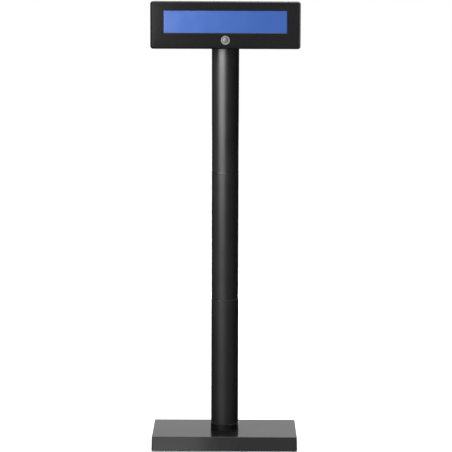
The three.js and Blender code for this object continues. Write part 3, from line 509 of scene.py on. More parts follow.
def make_light():
    """Lights the scene, and returns the lights that are kept to some pieces, with those pieces."""
    make_world()
    linked = []
    for name, place, target, size, power, pieces in (
        ("key", (-0.55, -0.95, 0.74), (0, 0, 0.6), (1.0, 0.6), 31, POLE_ONLY),
        ("veil", (-0.29, -0.85, 0.7), (-0.05, 0, 0.6), (0.26, 0.4), 0.85, HOUSING_ONLY),
        ("badge_card", (-0.34, -0.85, 0.72), (0, 0, 0.58), (0.3, 0.4), 4, BADGE_ONLY),
        ("front_card", (0.22, -1.2, 0.66), (0.05, 0, 0.6), (0.6, 0.4), 0.3, HOUSING_ONLY),
        ("right_card", (0.42, -0.1, 0.62), (0, -0.05, 0.6), (0.5, 0.5), 2.4, HOUSING_ONLY),
        ("top_card", (0.16, -0.08, 0.86), (0.12, -0.04, 0.6), (0.2, 0.3), 0.5, HOUSING_ONLY),
        ("window_veil", (-0.36, -0.85, 0.7), (-0.05, 0, 0.6), (0.3, 0.4), 8.4, WINDOW_ONLY),
        ("window_side", (-0.26, -0.3, 0.74), (-0.06, 0, 0.6), (0.16, 0.16), 1.5, WINDOW_ONLY),
        ("strip", (-0.45, -0.88, -0.17), (0, 0, 0.1), (1.1, 0.62), 0.9, POLE_ONLY),
        ("left_card", (-1.2, 0.1, 0.5), (0, 0, 0.5), (1.0, 0.9), 0.7, POLE_ONLY),
        ("right_low_card", (0.95, -0.6, -0.2), (0, 0, 0.2), (1.0, 0.8), 0.25, POLE_ONLY),
        ("collar_card", (-0.45, -0.88, -0.17), (0, 0, 0.1), (1.1, 0.62), 1.6, COLLAR_ONLY),
        ("low_card", (-0.27, -0.46, -0.08), (-0.27, 0, -0.08), (0.47, 0.16), 0.31, BASE_ONLY),
        ("base_card", (0.15, -1.25, -0.3), (0, 0, 0), (1.7, 0.42), 0.9, BASE_ONLY),
        ("far_card", (0, -1.7, 0.6), (0, 0, 0), (4.4, 0.6), 11, BASE_ONLY),
        ("back_low_card", (0.2, 1.2, -0.28), (0, 0, 0), (1.4, 0.42), 1.2, BASE_ONLY),
        ("back_key", (0.1, 1.6, 0.5), (0, 0, 0.4), (0.3, 1.3), 10, POLE_ONLY + COLLAR_ONLY),
        ("rear_card", (-0.45, 1.3, 0.42), (0, 0, 0.6), (1.3, 0.9), 7, ()),
        ("rear_key", (0.5, 0.9, 1.05), (0, 0, 0.6), (0.5, 0.5), 10, ()),
        ("rear_side_card", (1.1, 1.1, 0.12), (0, 0, 0.6), (0.9, 0.8), 7, ()),
    ):
        light = area_light(name, place, target, size, power)
        light.data.use_shadow = name in ("key", "strip")
        light.visible_camera = False
        linked.append((light, pieces))
    area_light("back_fill", (0.5, 1.2, 1.5), (0, 0, 0.4), (1, 1), 10)
    sun = new_object("overhead", bpy.data.lights.new("overhead", "SUN"))
    sun.data.energy = SUN_POWER
    sun.data.angle = math.radians(SUN_SPREAD)
    return linked


def make_floor():
    bm = bmesh.new()
    bmesh.ops.create_grid(bm, x_segments=1, y_segments=1, size=FLOOR_REACH)
    floor = mesh_object("floor", bm)
    floor.data.materials.append(plain_sweep("floor_white", (0.9, 0.9, 0.9), (0.93, 0.93, 0.93), 0.8))
    floor.visible_glossy = False


make_camera()
linked_lights = make_light()
make_floor()
bpy.context.scene.view_settings.view_transform = "Standard"


# ---- Places and sizes ----

# Taken from the frame.
JOINT_PLACES = {joint["name"]: Vector(joint["pos_m"]) for joint in frame["joints"]}
TILT_AXIS = JOINT_PLACES["tilt"]
HOUSING_LOW, HOUSING_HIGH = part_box("head_front_housing")
REAR_LOW, REAR_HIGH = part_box("head_rear_shell")
BASE_LOW, BASE_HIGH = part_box("base_shell")
COVER_LOW, COVER_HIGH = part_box("base_bottom_cover")
BRACKET_LOW, BRACKET_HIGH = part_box("tilt_bracket")
BUSH_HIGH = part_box("swivel_bush")[1]
JACK_LOW, JACK_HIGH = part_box("data_jack")
BADGE_LOW, BADGE_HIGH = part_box("round_badge")
POLE_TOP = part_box("pole_section_upper")[1].z

HEAD_SIZE = (HOUSING_HIGH.x - HOUSING_LOW.x, HOUSING_HIGH.z - HOUSING_LOW.z)
HEAD_PLACE = Vector((0, HOUSING_LOW.y, TILT_AXIS.z))  # the middle of the front face
HOUSING_DEPTH = HOUSING_HIGH.y - HOUSING_LOW.y
HEAD_DEPTH = REAR_HIGH.y - HOUSING_LOW.y
REAR_START = REAR_LOW.y - HOUSING_LOW.y

# The same driving sizes as the CAD parts.
GAP = 0.3 * MM
OVERCUT = 1 * MM  # how far a cutting shape runs past the surface that it cuts
HEAD_WALL = 2.4 * MM
HEAD_CORNER = 4 * MM
HEAD_INNER_CORNER = 2.5 * MM
FRONT_EDGE = 2.5 * MM
REAR_EDGE = 3.5 * MM
PART_LINE_EDGE = 0.35 * MM  # the rims that face each other at the housing's part line
WINDOW = (171.7 * MM, 31 * MM)
WINDOW_UP = 4.5 * MM
WINDOW_SETBACK = 0.15 * MM
WINDOW_CORNER = 0.4 * MM
WINDOW_RIM = 0.3 * MM  # the bevel round its opening
WINDOW_FLANGE = (3.2 * MM, 1.2 * MM)  # how far it reaches past the window, and its thickness
BADGE_RADIUS = (BADGE_HIGH.x - BADGE_LOW.x) / 2
BADGE_UP = (BADGE_HIGH.z + BADGE_LOW.z) / 2 - TILT_AXIS.z
BADGE_RECESS = 0.9 * MM
BADGE_DISH = 0.22 * MM  # how far its face lies behind its rim
BADGE_FACE = 0.84  # the part of its radius that has the face's finish
HEAD_BOSSES = four_corners(96.3 * MM, 25.6 * MM)
HEAD_BOSS_RADIUS = 3.2 * MM
BOARD_POSTS = ((86 * MM, -22 * MM), (86 * MM, 27.6 * MM))
BOARD_POST_RADIUS = 2.7 * MM
BOARD_FRONT = 12.6 * MM
SCREW_RECESS = (2.9 * MM, 1.6 * MM)  # radius and depth
SCREW_BORE = 1.4 * MM
REAR_SCREW_BORE = 1.5 * MM
BRACKET_BOSS = (4.6 * MM, 4 * MM)  # how far it and its hole run in from the back wall
VENT = (2 * MM, 22 * MM)  # width and height
VENT_FIRST = 48 * MM
VENT_PITCH = 5 * MM
VENT_COUNT = 7
VENT_UP = 3 * MM
LEAD_HOLE = (9 * MM, 9 * MM)
LEAD_HOLE_CORNER = 1.5 * MM
LEAD_RADIUS = 2 * MM
LEAD_BEND = 9 * MM
BRACKET_SCREWS = (-18 * MM, 18 * MM)

BASE_TOP_SIZE = (206.5 * MM, 115 * MM)
BASE_LEAN = (BASE_HIGH.x - BASE_LOW.x - BASE_TOP_SIZE[0]) / 2
BASE_CORNER = 2 * MM
BASE_INNER_CORNER = 1 * MM
BASE_EDGE = 1 * MM
BASE_WALL = 2.6 * MM
BASE_BOSSES = four_corners(94 * MM, 30 * MM)
BASE_BOSS_RADIUS = 3.6 * MM
BASE_HOLE_END = 4 * MM  # how far below the roof the bosses' holes end
COVER_RECESS = (3.3 * MM, 1.5 * MM)
COVER_EDGE = 0.3 * MM
JACK_CUT = 4 * MM  # how far its opening runs either way from the back of the base
FEET = four_corners(82 * MM, 42 * MM)
FOOT_PEG = 3 * MM
FOOT_RINGS = (0.3, 0.62)  # where the grip rings start, as parts of the foot's radius
FOOT_RING_WIDTH = 0.16
POLE_BORE = 16.8 * MM
COLLAR_GROOVES = (4, 0.6 * MM, 0.35 * MM)  # how many, their width and their depth
COLLAR_LIP = 0.1 * MM
END_CHAMFER = 0.5 * MM


def running_back(obj, x=0.0, up=0.0):
    """Turns a piece that rises along Z so that it runs back through the head, from the front face."""
    return moved(obj, (-90, 0, 0), HEAD_PLACE + Vector((x, 0, up)))


def rim_cutter(size, depth, corner, spread):
    """A cutter that bevels the front rim of an opening: wide at the surface, narrower behind it."""
    rings = []
    for height, grow in ((-spread, 2 * spread), (depth, 0)):
        outline = rounded_outline(size[0] + 2 * grow, size[1] + 2 * grow, corner + grow)
        rings.append([(x, y, height) for x, y in outline])
    return loft("rim", rings)


# ---- Head ----

def build_housing():
    body = slab("housing", HEAD_SIZE, (0, HOUSING_DEPTH), HEAD_CORNER, (FRONT_EDGE, PART_LINE_EDGE))
    inner = tuple(side - 2 * HEAD_WALL for side in HEAD_SIZE)
    cavity = slab("cavity", inner, (HEAD_WALL, HOUSING_DEPTH + OVERCUT), HEAD_INNER_CORNER)
    combine(running_back(body), [running_back(cavity)])
    posts = []
    holes = []
    for x, z in HEAD_BOSSES:
        posts.append(running_back(rod_cutter(HEAD_BOSS_RADIUS, HEAD_WALL / 2, HOUSING_DEPTH), x, z))
        holes.append(running_back(rod_cutter(SCREW_BORE, 2 * HEAD_WALL, HOUSING_DEPTH + OVERCUT), x, z))
    for post_x, z in BOARD_POSTS:
        for x in (-post_x, post_x):
            posts.append(running_back(rod_cutter(BOARD_POST_RADIUS, HEAD_WALL / 2, BOARD_FRONT), x, z))
    combine(body, posts, "UNION")
    opening = slab("opening", WINDOW, (-OVERCUT, 2 * HEAD_WALL), WINDOW_CORNER)
    holes.append(running_back(opening, 0, WINDOW_UP))
    seat_radius = BADGE_RADIUS + GAP
    seat_rim = 0.2 * MM
    seat = turned("seat", [
        (0, -OVERCUT), (seat_radius + OVERCUT, -OVERCUT), (seat_radius, seat_rim),
        (seat_radius, BADGE_RECESS), (0, BADGE_RECESS),
    ])
    holes.append(running_back(seat, 0, BADGE_UP))
    combine(body, holes)
    rim = rim_cutter(WINDOW, WINDOW_RIM, WINDOW_CORNER, WINDOW_RIM)
    combine(body, [running_back(rim, 0, WINDOW_UP)])
    finish_piece(body, "front_housing_fine", "housing", "head", ["head_front_housing"])


def build_window():
    pane_size = tuple(side - 2 * GAP for side in WINDOW)
    reach, thickness = WINDOW_FLANGE
    flange_size = tuple(side + 2 * reach for side in WINDOW)
    start = HEAD_WALL + GAP
    end = start + thickness
    soft = 0.2 * MM
    pane_corner, pane_edge, flange_corner = 0.5 * MM, 0.45 * MM, 1.5 * MM
    pane = slab("pane", pane_size, (WINDOW_SETBACK, end - soft), pane_corner, (pane_edge, 0))
    running_back(pane, 0, WINDOW_UP)
    flange = slab("flange", flange_size, (start, end), flange_corner, (soft, soft))
    combine(pane, [running_back(flange, 0, WINDOW_UP)], "UNION")
    finish_piece(pane, "display_window_fine", "window", "head", ["display_window"])
    # The bevel and sides ahead of the flange take the lighter blue, a painted highlight round the filter's edge
    pane.data.materials.append(MATERIALS["window_rim_painted_highlight"])
    rim_end = HEAD_PLACE.y + start
    for face in pane.data.polygons:
        faces_front = abs(face.normal.y) >= 0.9
        if not faces_front and face.center.y < rim_end:
            face.material_index = 1


def build_badge():
    """A blank round badge: a polished rim round a dished face with two spun rings."""
    radius = BADGE_RADIUS
    front = HOUSING_LOW.y - BADGE_LOW.y  # how proud it stands
    back = GAP - BADGE_RECESS
    dish = front - BADGE_DISH
    soft = 0.2 * MM
    profile = [(0, back), (radius, back)]
    profile += arc((radius - soft, front - soft), soft, 0, 90, 4)
    profile += arc((radius - 0.75 * MM, front - soft), soft, 90, 160, 4)
    profile.append((radius - 1.05 * MM, dish))
    # Parts of the radius, and millimetres from the dish.
    face_points = ((0.66, 0), (0.63, -0.12), (0.57, -0.12), (0.54, 0), (0.3, 0.06), (0, 0.08))
    profile += [(part * radius, dish + rise * MM) for part, rise in face_points]
    middle = HEAD_PLACE + Vector((0, 0, BADGE_UP))
    disc = moved(turned("badge", profile), (90, 0, 0), middle)
    finish_piece(disc, "round_badge_fine", "silver", "head", ["round_badge"])
    disc.data.materials.append(MATERIALS["badge_face"])
    for face in disc.data.polygons:
        away = face.center - middle
        if math.hypot(away.x, away.z) < BADGE_FACE * radius:
            face.material_index = 1


def build_rear_shell():
    body = slab("rear", HEAD_SIZE, (REAR_START, HEAD_DEPTH), HEAD_CORNER, (PART_LINE_EDGE, REAR_EDGE))
    floor = HEAD_DEPTH - HEAD_WALL
    inner = tuple(side - 2 * HEAD_WALL for side in HEAD_SIZE)
    cavity = slab("cavity", inner, (REAR_START - OVERCUT, floor), HEAD_INNER_CORNER)
    combine(running_back(body), [running_back(cavity)])
    boss, hole = BRACKET_BOSS
    bosses = [running_back(rod_cutter(HEAD_BOSS_RADIUS, REAR_START, floor + OVERCUT), x, z)
              for x, z in HEAD_BOSSES]
    bosses += [running_back(rod_cutter(HEAD_BOSS_RADIUS, floor - boss, floor + OVERCUT), x, 0)
               for x in BRACKET_SCREWS]
    combine(body, bosses, "UNION")
    beyond = HEAD_DEPTH + OVERCUT
    recess, depth = SCREW_RECESS
    bottom, flare = HEAD_DEPTH - depth, 0.3 * MM
    recess_profile = [(0, bottom), (recess, bottom), (recess, HEAD_DEPTH - flare),
                      (recess + 2 * OVERCUT, HEAD_DEPTH + 2 * OVERCUT - flare), (0, beyond)]
    tools = []
    recesses = []
    for x, z in HEAD_BOSSES:
        tools.append(running_back(rod_cutter(REAR_SCREW_BORE, REAR_START - OVERCUT, beyond), x, z))
        recesses.append(running_back(turned("recess", recess_profile, SMALL_ROUND), x, z))
    tools += [running_back(rod_cutter(SCREW_BORE, floor - hole, beyond), x, 0) for x in BRACKET_SCREWS]
    tools.append(running_back(slab("lead", LEAD_HOLE, (floor - OVERCUT, beyond), LEAD_HOLE_CORNER)))
    vent_corner = 0.99 * VENT[0] / 2  # just short of a half circle
    for side in (-1, 1):
        for index in range(VENT_COUNT):
            x = side * (VENT_FIRST + VENT_PITCH * index)
            slot = slab("vent", VENT, (floor - OVERCUT, beyond), vent_corner)
            tools.append(running_back(slot, x, VENT_UP))
    combine(body, recesses)
    combine(body, tools)
    finish_piece(body, "rear_shell_fine", "housing", "head", ["head_rear_shell"])


# ---- Base ----

def build_base_shell():
    bottom, top = BASE_LOW.z, BASE_HIGH.z
    roof = top - BASE_WALL
    body = slab("base", BASE_TOP_SIZE, (bottom, top), BASE_CORNER, (BASE_EDGE, BASE_EDGE), BASE_LEAN)
    inner = tuple(side - 2 * BASE_WALL for side in BASE_TOP_SIZE)
    combine(body, [slab("cavity", inner, (0, roof), BASE_INNER_CORNER)])
    boss_bottom = COVER_HIGH.z + GAP
    bosses = [moved(rod_cutter(BASE_BOSS_RADIUS, boss_bottom, roof + OVERCUT), place=(x, y, 0))
              for x, y in BASE_BOSSES]
    combine(body, bosses, "UNION")
    hole = (SCREW_BORE, boss_bottom - OVERCUT, roof - BASE_HOLE_END)
    tools = [moved(rod_cutter(*hole), place=(x, y, 0)) for x, y in BASE_BOSSES]
    tools.append(rod_cutter(POLE_BORE, roof - OVERCUT, top + OVERCUT, ROUND))
    tools.append(box_cutter(
        (JACK_LOW.x - GAP, JACK_HIGH.y - JACK_CUT, JACK_LOW.z - GAP),
        (JACK_HIGH.x + GAP, JACK_HIGH.y + JACK_CUT, JACK_HIGH.z + GAP),
    ))
    combine(body, tools)
    finish_piece(body, "base_shell_fine", "base", "root", ["base_shell"])


def build_bottom_cover():
    size = (COVER_HIGH.x - COVER_LOW.x, COVER_HIGH.y - COVER_LOW.y)
    plate = slab("cover", size, (COVER_LOW.z, COVER_HIGH.z), BASE_CORNER, (COVER_EDGE, COVER_EDGE))
    recess, depth = COVER_RECESS
    ledge, beyond = COVER_LOW.z + depth, COVER_HIGH.z + OVERCUT
    bore = SCREW_BORE
    profile = [(0, 0), (recess, 0), (recess, ledge), (bore, ledge), (bore, beyond), (0, beyond)]
    tools = [moved(turned("recess", profile, SMALL_ROUND), place=(x, y, 0)) for x, y in BASE_BOSSES]
    tools += [moved(rod_cutter(FOOT_PEG + GAP, 0, beyond), place=(x, y, 0)) for x, y in FEET]
    combine(plate, tools)
    finish_piece(plate, "bottom_cover_fine", "housing", "root", ["base_bottom_cover"])


def build_feet():
    """Round rubber feet with a soft rim, two grip rings and a peg into the cover."""
    tread, slope = 0.2 * MM, 0.25 * MM
    soft, chamfer = 0.6 * MM, 0.3 * MM
    for number in range(1, 5):
        node = f"rubber_foot_{number}"
        low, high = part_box(node)
        radius = (high.x - low.x) / 2
        top = COVER_LOW.z - 0.1 * MM  # just clear of the cover
        profile = [(0, tread)]
        for ring in FOOT_RINGS:
            inner, outer = ring * radius, (ring + FOOT_RING_WIDTH) * radius
            profile += [(inner, tread), (inner + slope, 0), (outer, 0), (outer + slope, tread)]
        profile += arc((radius - soft, soft), soft, -90, 0, 4)
        profile += [(radius, top - tread), (radius - tread, top), (FOOT_PEG, top)]
        profile += [(FOOT_PEG, high.z - chamfer), (FOOT_PEG - chamfer, high.z), (0, high.z)]
        middle = (low + high) / 2
        foot = moved(turned("foot", profile, SMALL_ROUND), place=(middle.x, middle.y, 0))
        finish_piece(foot, f"foot_fine_{number}", "rubber", "root", [node])


def build_collar():
    """The ring at the pole's foot, with fine grooves turned in it."""
    low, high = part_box("foot_collar")
    radius = high.x
    count, groove, groove_depth = COLLAR_GROOVES
    pitch = (high.z - BASE_HIGH.z) / (count + 1)
    profile = [(POLE_BORE, low.z), (radius, low.z)]
    for index in range(1, count + 1):
        middle = BASE_HIGH.z + index * pitch
        profile += [
            (radius, middle - groove / 2), (radius - groove_depth, middle - groove / 4),
            (radius - groove_depth, middle + groove / 4), (radius, middle + groove / 2),
        ]
    profile += arc((radius - COLLAR_LIP, high.z - COLLAR_LIP), COLLAR_LIP, 0, 90, 3)
    profile.append((POLE_BORE, high.z))
    collar = turned("collar", profile)
    finish_piece(collar, "foot_collar_fine", "pole", "root", ["foot_collar"])


# ---- Pole ----

SECTION_RADII = {  # at the bottom and at the top of each section
    "lower": (19.6 * MM, 19.6 * MM),
    "middle": (19.15 * MM, 19.15 * MM),
    "upper": (19.05 * MM, 19.45 * MM),
}
SWAGE = (0.25 * MM, 3 * MM)  # how far, and over what height, the upper section's lower end swells


def build_pole_sections():
    for word, (bottom_radius, top_radius) in SECTION_RADII.items():
        node = f"pole_section_{word}"
        low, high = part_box(node)
        soft = END_CHAMFER
        swell = SWAGE[0] if word == "upper" else 0
        profile = [(POLE_BORE, low.z)]
        profile += arc((bottom_radius + swell - soft, low.z + soft), soft, -90, 0, 5)
        if swell:
            profile.append((bottom_radius, low.z + SWAGE[1]))
        profile += arc((top_radius - soft, high.z - soft), soft, 0, 90, 5)
        profile.append((POLE_BORE, high.z))
        section = turned("section", profile)
        finish_piece(section, f"pole_{word}_fine", "pole", "root", [node])


# ---- Swivel and tilt hinge ----

# Heights along the neck are measured from the pole's top, distances along the hinge from its middle.
BUSH_BORE = 10 * MM
BUSH_DEPTH = 14 * MM
BUSH_FLANGE_TOP = 2.5 * MM
STOP_BLOCK = (5 * MM, 12.7 * MM, 15.3 * MM)  # width, inner and outer distance from the axis
STOP_CHANNEL = (12.4 * MM, 15.6 * MM)
NECK_RADIUS = 18.9 * MM
NECK_BOTTOM = 2.8 * MM
NECK_DECK = 8.8 * MM
NECK_BORE = 5 * MM
NECK_SPIGOT = 9.85 * MM
CLIP_GROOVE = (8.6 * MM, -18.3 * MM, -16.7 * MM)  # radius, bottom, top
SPIGOT_END = -22 * MM
EAR_INNER = 13.4 * MM
EAR_RADIUS = 11 * MM
EAR_FLAT = 17.6 * MM
EAR_SETBACK = 0.15 * MM  # how far the ears' round backs stand in from the deck's edge
STEP = (5 * MM, 12 * MM, 10.4 * MM)  # front, back, distance below the hinge axis
LUG_INNER = 8.9 * MM
LUG_OUTER = 12.2 * MM
LUG_RADIUS = 8 * MM
LUG_ROOT = 13 * MM
LUG_TOOTH = (12.5 * MM, 3 * MM)  # reach and half width
BOLT_RADIUS = 2.5 * MM
BOLT_HEAD = (4.5 * MM, 2.8 * MM)  # radius and height
BOLT_SEAT = 1 * MM  # how far the flat under a bolt's head runs past it
BOLT_END = 4.1 * MM
BOLT_BORE = 2.8 * MM
BOLT_KEY = (1.75 * MM, 1.7 * MM)  # the hexagon socket's radius and depth
HINGE_GAP = 0.15 * MM  # between the parts on a bolt
WASHER_THICKNESS = 0.9 * MM
SPRING = (6 * MM, 0.5 * MM, 0.7 * MM)  # radius, thickness and height of the cone
NUT = (8 * MM, 3.2 * MM)  # across the flats, and its height
BRACKET_CORNER = 3 * MM
BRACKET_HEIGHT = 34 * MM
BRACKET_THICKNESS = 2 * MM


def side_plate(name, outline, inner, outer):
    """A plate across the hinge's axis, from its (y, z) outline about that axis."""
    around = [(TILT_AXIS.y + y, TILT_AXIS.z + z) for y, z in outline]
    return loft(name, [[(x, y, z) for y, z in around] for x in (inner, outer)])


def along_hinge(obj, side=1):
    """Turns a piece that rises along Z so that it runs out along the hinge's axis on one side."""
    return moved(obj, (0, 90 * side, 0), TILT_AXIS)


def build_bush():
    top = BUSH_FLANGE_TOP
    spigot = POLE_BORE - GAP
    flange = BUSH_HIGH.x
    soft = 0.4 * MM
    profile = [(BUSH_BORE, -BUSH_DEPTH), (spigot - soft, -BUSH_DEPTH), (spigot, soft - BUSH_DEPTH)]
    profile += [(spigot, GAP), (flange - soft, GAP)]
    profile += arc((flange - soft, GAP + soft), soft, -90, 0, 3)
    profile += arc((flange - soft, top - soft), soft, 0, 90, 3)
    profile.append((BUSH_BORE, top))
    bush = turned("bush", profile)
    width, near, far = STOP_BLOCK
    block_top = BUSH_HIGH.z - POLE_TOP
    combine(bush, [box_cutter((-width / 2, near, top / 2), (width / 2, far, block_top))], "UNION")
    moved(bush, place=(0, 0, POLE_TOP))
    finish_piece(bush, "swivel_bush_fine", "acetal", "root", ["swivel_bush"])


def build_neck():
    """The casting: a spigot, a round deck and two ears rounded over the hinge."""
    soft = 0.8 * MM
    groove, groove_bottom, groove_top = CLIP_GROOVE
    profile = [(NECK_BORE, SPIGOT_END), (NECK_SPIGOT - soft, SPIGOT_END)]
    profile += [(NECK_SPIGOT, SPIGOT_END + soft), (NECK_SPIGOT, groove_bottom)]
    profile += [(groove, groove_bottom), (groove, groove_top)]
    profile += [(NECK_SPIGOT, groove_top), (NECK_SPIGOT, NECK_BOTTOM)]
    profile += arc((NECK_RADIUS - soft, NECK_BOTTOM + soft), soft, -90, 0, 4)
    profile += arc((NECK_RADIUS - soft, NECK_DECK - soft), soft, 0, 90, 4)
    profile.append((NECK_BORE, NECK_DECK))
    neck = turned("neck", profile)
    inner, outer = STOP_CHANNEL
    channel_top = BUSH_HIGH.z - POLE_TOP + GAP
    channel = turned("channel", [(inner, 0), (outer, 0), (outer, channel_top), (inner, channel_top)])
    half = STOP_BLOCK[0] / 2
    combine(channel, [box_cutter((-half, -2 * outer, -OVERCUT), (half, 0, 2 * NECK_DECK))])
    combine(neck, [channel])
    moved(neck, place=(0, 0, POLE_TOP))

    rise = TILT_AXIS.z - POLE_TOP
    column = rod_cutter(NECK_RADIUS - EAR_SETBACK, NECK_DECK / 2, 2 * rise, ROUND)
    moved(column, place=(0, 0, POLE_TOP))
    across = 2 * NECK_RADIUS
    combine(column, [box_cutter((-EAR_INNER, -across, 0), (EAR_INNER, across, 1))])
    crown = [(-EAR_RADIUS, -rise), (EAR_RADIUS, -rise)] + arc((0, 0), EAR_RADIUS, 0, 180, 4 * ARC)
    combine(column, [side_plate("crown", crown, -across, across)], "INTERSECT")
    front, back, below = STEP
    step_top = TILT_AXIS.z - below
    step_bottom = POLE_TOP + NECK_DECK / 2
    ears = ((-EAR_INNER - OVERCUT, GAP - LUG_INNER), (LUG_INNER - GAP, EAR_INNER + OVERCUT))
    steps = [box_cutter((near, front, step_bottom), (far, back, step_top)) for near, far in ears]
    combine(neck, [column], "UNION")
    combine(neck, steps, "UNION")
    combine(neck, [along_hinge(rod_cutter(BOLT_BORE, -across, across))])
    seat = (BOLT_HEAD[0] + BOLT_SEAT, EAR_FLAT, across)
    combine(neck, [along_hinge(rod_cutter(*seat), side) for side in (-1, 1)])
    soften(neck, 0.35 * MM, angle=50)
    finish_piece(neck, "swivel_neck_fine", "casting", "neck", ["swivel_neck"])


def build_bracket():
    """The steel bracket on the head's back: a plate with two lugs and their stop teeth."""
    size = (BRACKET_HIGH.x - BRACKET_LOW.x, BRACKET_HEIGHT)
    thickness = BRACKET_THICKNESS
    start = BRACKET_LOW.y - HEAD_PLACE.y
    plate = slab("bracket", size, (start, start + thickness), BRACKET_CORNER)
    running_back(plate)
    root = BRACKET_LOW.y + thickness / 2 - TILT_AXIS.y
    reach, half = LUG_TOOTH
    shoulder = math.degrees(math.asin(half / LUG_RADIUS))
    outline = [(root, LUG_ROOT), (root, -LUG_ROOT)]
    outline += arc((0, 0), LUG_RADIUS, -100, -shoulder, 16)
    outline += [(reach, -half), (reach, half)]
    outline += arc((0, 0), LUG_RADIUS, shoulder, 100, 16)
    lugs = [side_plate("lug", outline, *ends)
            for ends in ((-LUG_OUTER, -LUG_INNER), (LUG_INNER, LUG_OUTER))]
    combine(plate, lugs, "UNION")
    through = (start - OVERCUT, start + 2 * thickness)
    tools = [running_back(rod_cutter(SCREW_BORE, *through), x, 0) for x in BRACKET_SCREWS]
    tools.append(running_back(slab("lead", LEAD_HOLE, through, LEAD_HOLE_CORNER)))
    tools.append(along_hinge(rod_cutter(BOLT_RADIUS + HINGE_GAP, -2 * LUG_OUTER, 2 * LUG_OUTER)))
    combine(plate, tools)
    soften(plate, 0.3 * MM, angle=40)
    finish_piece(plate, "tilt_bracket_fine", "casting", "head", ["tilt_bracket"])


def build_tilt_bolt(side, word):
    under = EAR_FLAT + GAP
    radius, height = BOLT_HEAD
    chamfer = 0.4 * MM
    soft = 0.2 * MM
    skirt = 0.8 * MM  # the height of the head's straight side
    profile = [(0, BOLT_END), (BOLT_RADIUS - chamfer, BOLT_END), (BOLT_RADIUS, BOLT_END + chamfer)]
    profile += [(BOLT_RADIUS, under), (radius - soft, under), (radius, under + soft)]
    profile.append((radius, under + skirt))
    profile += [(radius * math.cos(a), under + skirt + (height - skirt) * math.sin(a))
                for a in (math.radians(angle) for angle in (15, 30, 45, 58, 68))]
    profile += [(0.34 * radius, under + height), (0, under + height)]
    bolt = turned("bolt", profile, ROUND // 2)
    key, depth = BOLT_KEY
    combine(bolt, [rod_cutter(key, under + height - depth, under + height + OVERCUT, 6)])
    along_hinge(bolt, side)
    node = f"tilt_bolt_{word}"
    finish_piece(bolt, f"{node}_fine", "bolt", "neck", [node])


def build_hinge_stack(side, word):
    """The friction washer outside the lug, and the disc spring and nut inside it."""
    node = f"friction_washer_{word}"
    inner = LUG_OUTER + HINGE_GAP
    outer = inner + WASHER_THICKNESS
    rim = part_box(node)[1].z - TILT_AXIS.z
    soft = 0.2 * MM
    washer = turned("washer", [
        (BOLT_BORE, inner), (rim - soft, inner), (rim, inner + soft), (rim, outer - soft),
        (rim - soft, outer), (BOLT_BORE, outer),
    ])
    along_hinge(washer, side)
    finish_piece(washer, f"{node}_fine", "acetal", "neck", [node])

    node = f"disc_spring_{word}"
    edge, thick, cone = SPRING
    wide = LUG_INNER - HINGE_GAP
    narrow = wide - cone
    soft = 0.12 * MM
    spring = turned("spring", [
        (BOLT_BORE, narrow - thick), (edge - soft, wide - thick), (edge, wide - thick + soft),
        (edge, wide - soft), (edge - soft, wide), (BOLT_BORE, narrow),
    ])
    along_hinge(spring, side)
    finish_piece(spring, f"{node}_fine", "plated", "neck", [node])

    node = f"hinge_nut_{word}"
    across, height = NUT
    outer = narrow - thick - HINGE_GAP
    inner = outer - height
    nut = rod_cutter(across / math.sqrt(3), inner, outer, 6)
    flat = 0.49 * across
    soft = 0.5 * MM
    dome = turned("dome", [
        (0, inner), (flat, inner), (flat + 2 * soft, inner + soft),
        (flat + 2 * soft, outer - soft), (flat, outer), (0, outer),
    ])
    combine(nut, [dome], "INTERSECT")
    combine(nut, [rod_cutter(BOLT_BORE, inner - OVERCUT, outer + OVERCUT)])
    along_hinge(nut, side)
    finish_piece(nut, f"{node}_fine", "plated", "neck", [node])


# ---- Screws, jack and lead ----

REAR_SCREW = (1.4 * MM, 1.1 * MM)  # the height of its head and the radius of its shank
BRACKET_SCREW = (1.8 * MM, 1.1 * MM)
COVER_SCREW = (1.3 * MM, 1.15 * MM)


def screw(head, head_height, shank, length):
    """A pan-head screw with a cross recess. Its head sits below z = 0 and its shank rises from there."""
    shoulder = 0.35 * head_height
    edge = 0.1 * MM
    profile = [(0, -head_height)]
    profile += [(head * math.sin(a), -shoulder - (head_height - shoulder) * math.cos(a))
                for a in (math.radians(angle) for angle in (30, 50, 65, 78, 90))]
    profile += [(head, -edge), (head - edge, 0), (shank, 0)]
    profile += [(shank, length - shank / 2), (shank / 2, length), (0, length)]
    body = turned("screw", profile, SMALL_ROUND)
    depth = 0.6 * head_height
    for turn in (0, 90):
        rings = []
        for height, reach, half in ((-2 * head_height, 0.62 * head, 0.15 * head),
                                    (-head_height, 0.6 * head, 0.14 * head),
                                    (depth - head_height, 0.28 * head, 0.1 * head)):
            corners = ((reach, half), (-reach, half), (-reach, -half), (reach, -half))
            rings.append([(x, y, height) for x, y in corners])
        combine(body, [moved(loft("wing", rings), (0, 0, turn))])
    return body


def fit_screw(node, sizes, material, body):
    """Draws a screw in its CAD node's place: those on the head run forward, those in the base up."""
    head_height, shank = sizes
    low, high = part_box(node)
    x, y, z = ((start + end) / 2 for start, end in zip(low, high))
    head = (high.x - low.x) / 2
    if body == "head":
        drawn = screw(head, head_height, shank, high.y - low.y - head_height)
        moved(drawn, (90, 0, 0), (x, high.y - head_height, z))
    else:
        drawn = screw(head, head_height, shank, high.z - low.z - head_height)
        moved(drawn, place=(x, y, low.z + head_height))
    finish_piece(drawn, f"{node}_fine", material, body, [node])


def build_screws():
    """The screws that can be seen: four behind the head, two on the bracket and four under the base."""
    for number in range(1, 5):
        fit_screw(f"rear_screw_{number}", REAR_SCREW, "bolt", "head")
    for word in ("left", "right"):
        fit_screw(f"bracket_screw_{word}", BRACKET_SCREW, "bolt", "head")
    for number in range(1, 5):
        fit_screw(f"cover_screw_{number}", COVER_SCREW, "plated", "root")


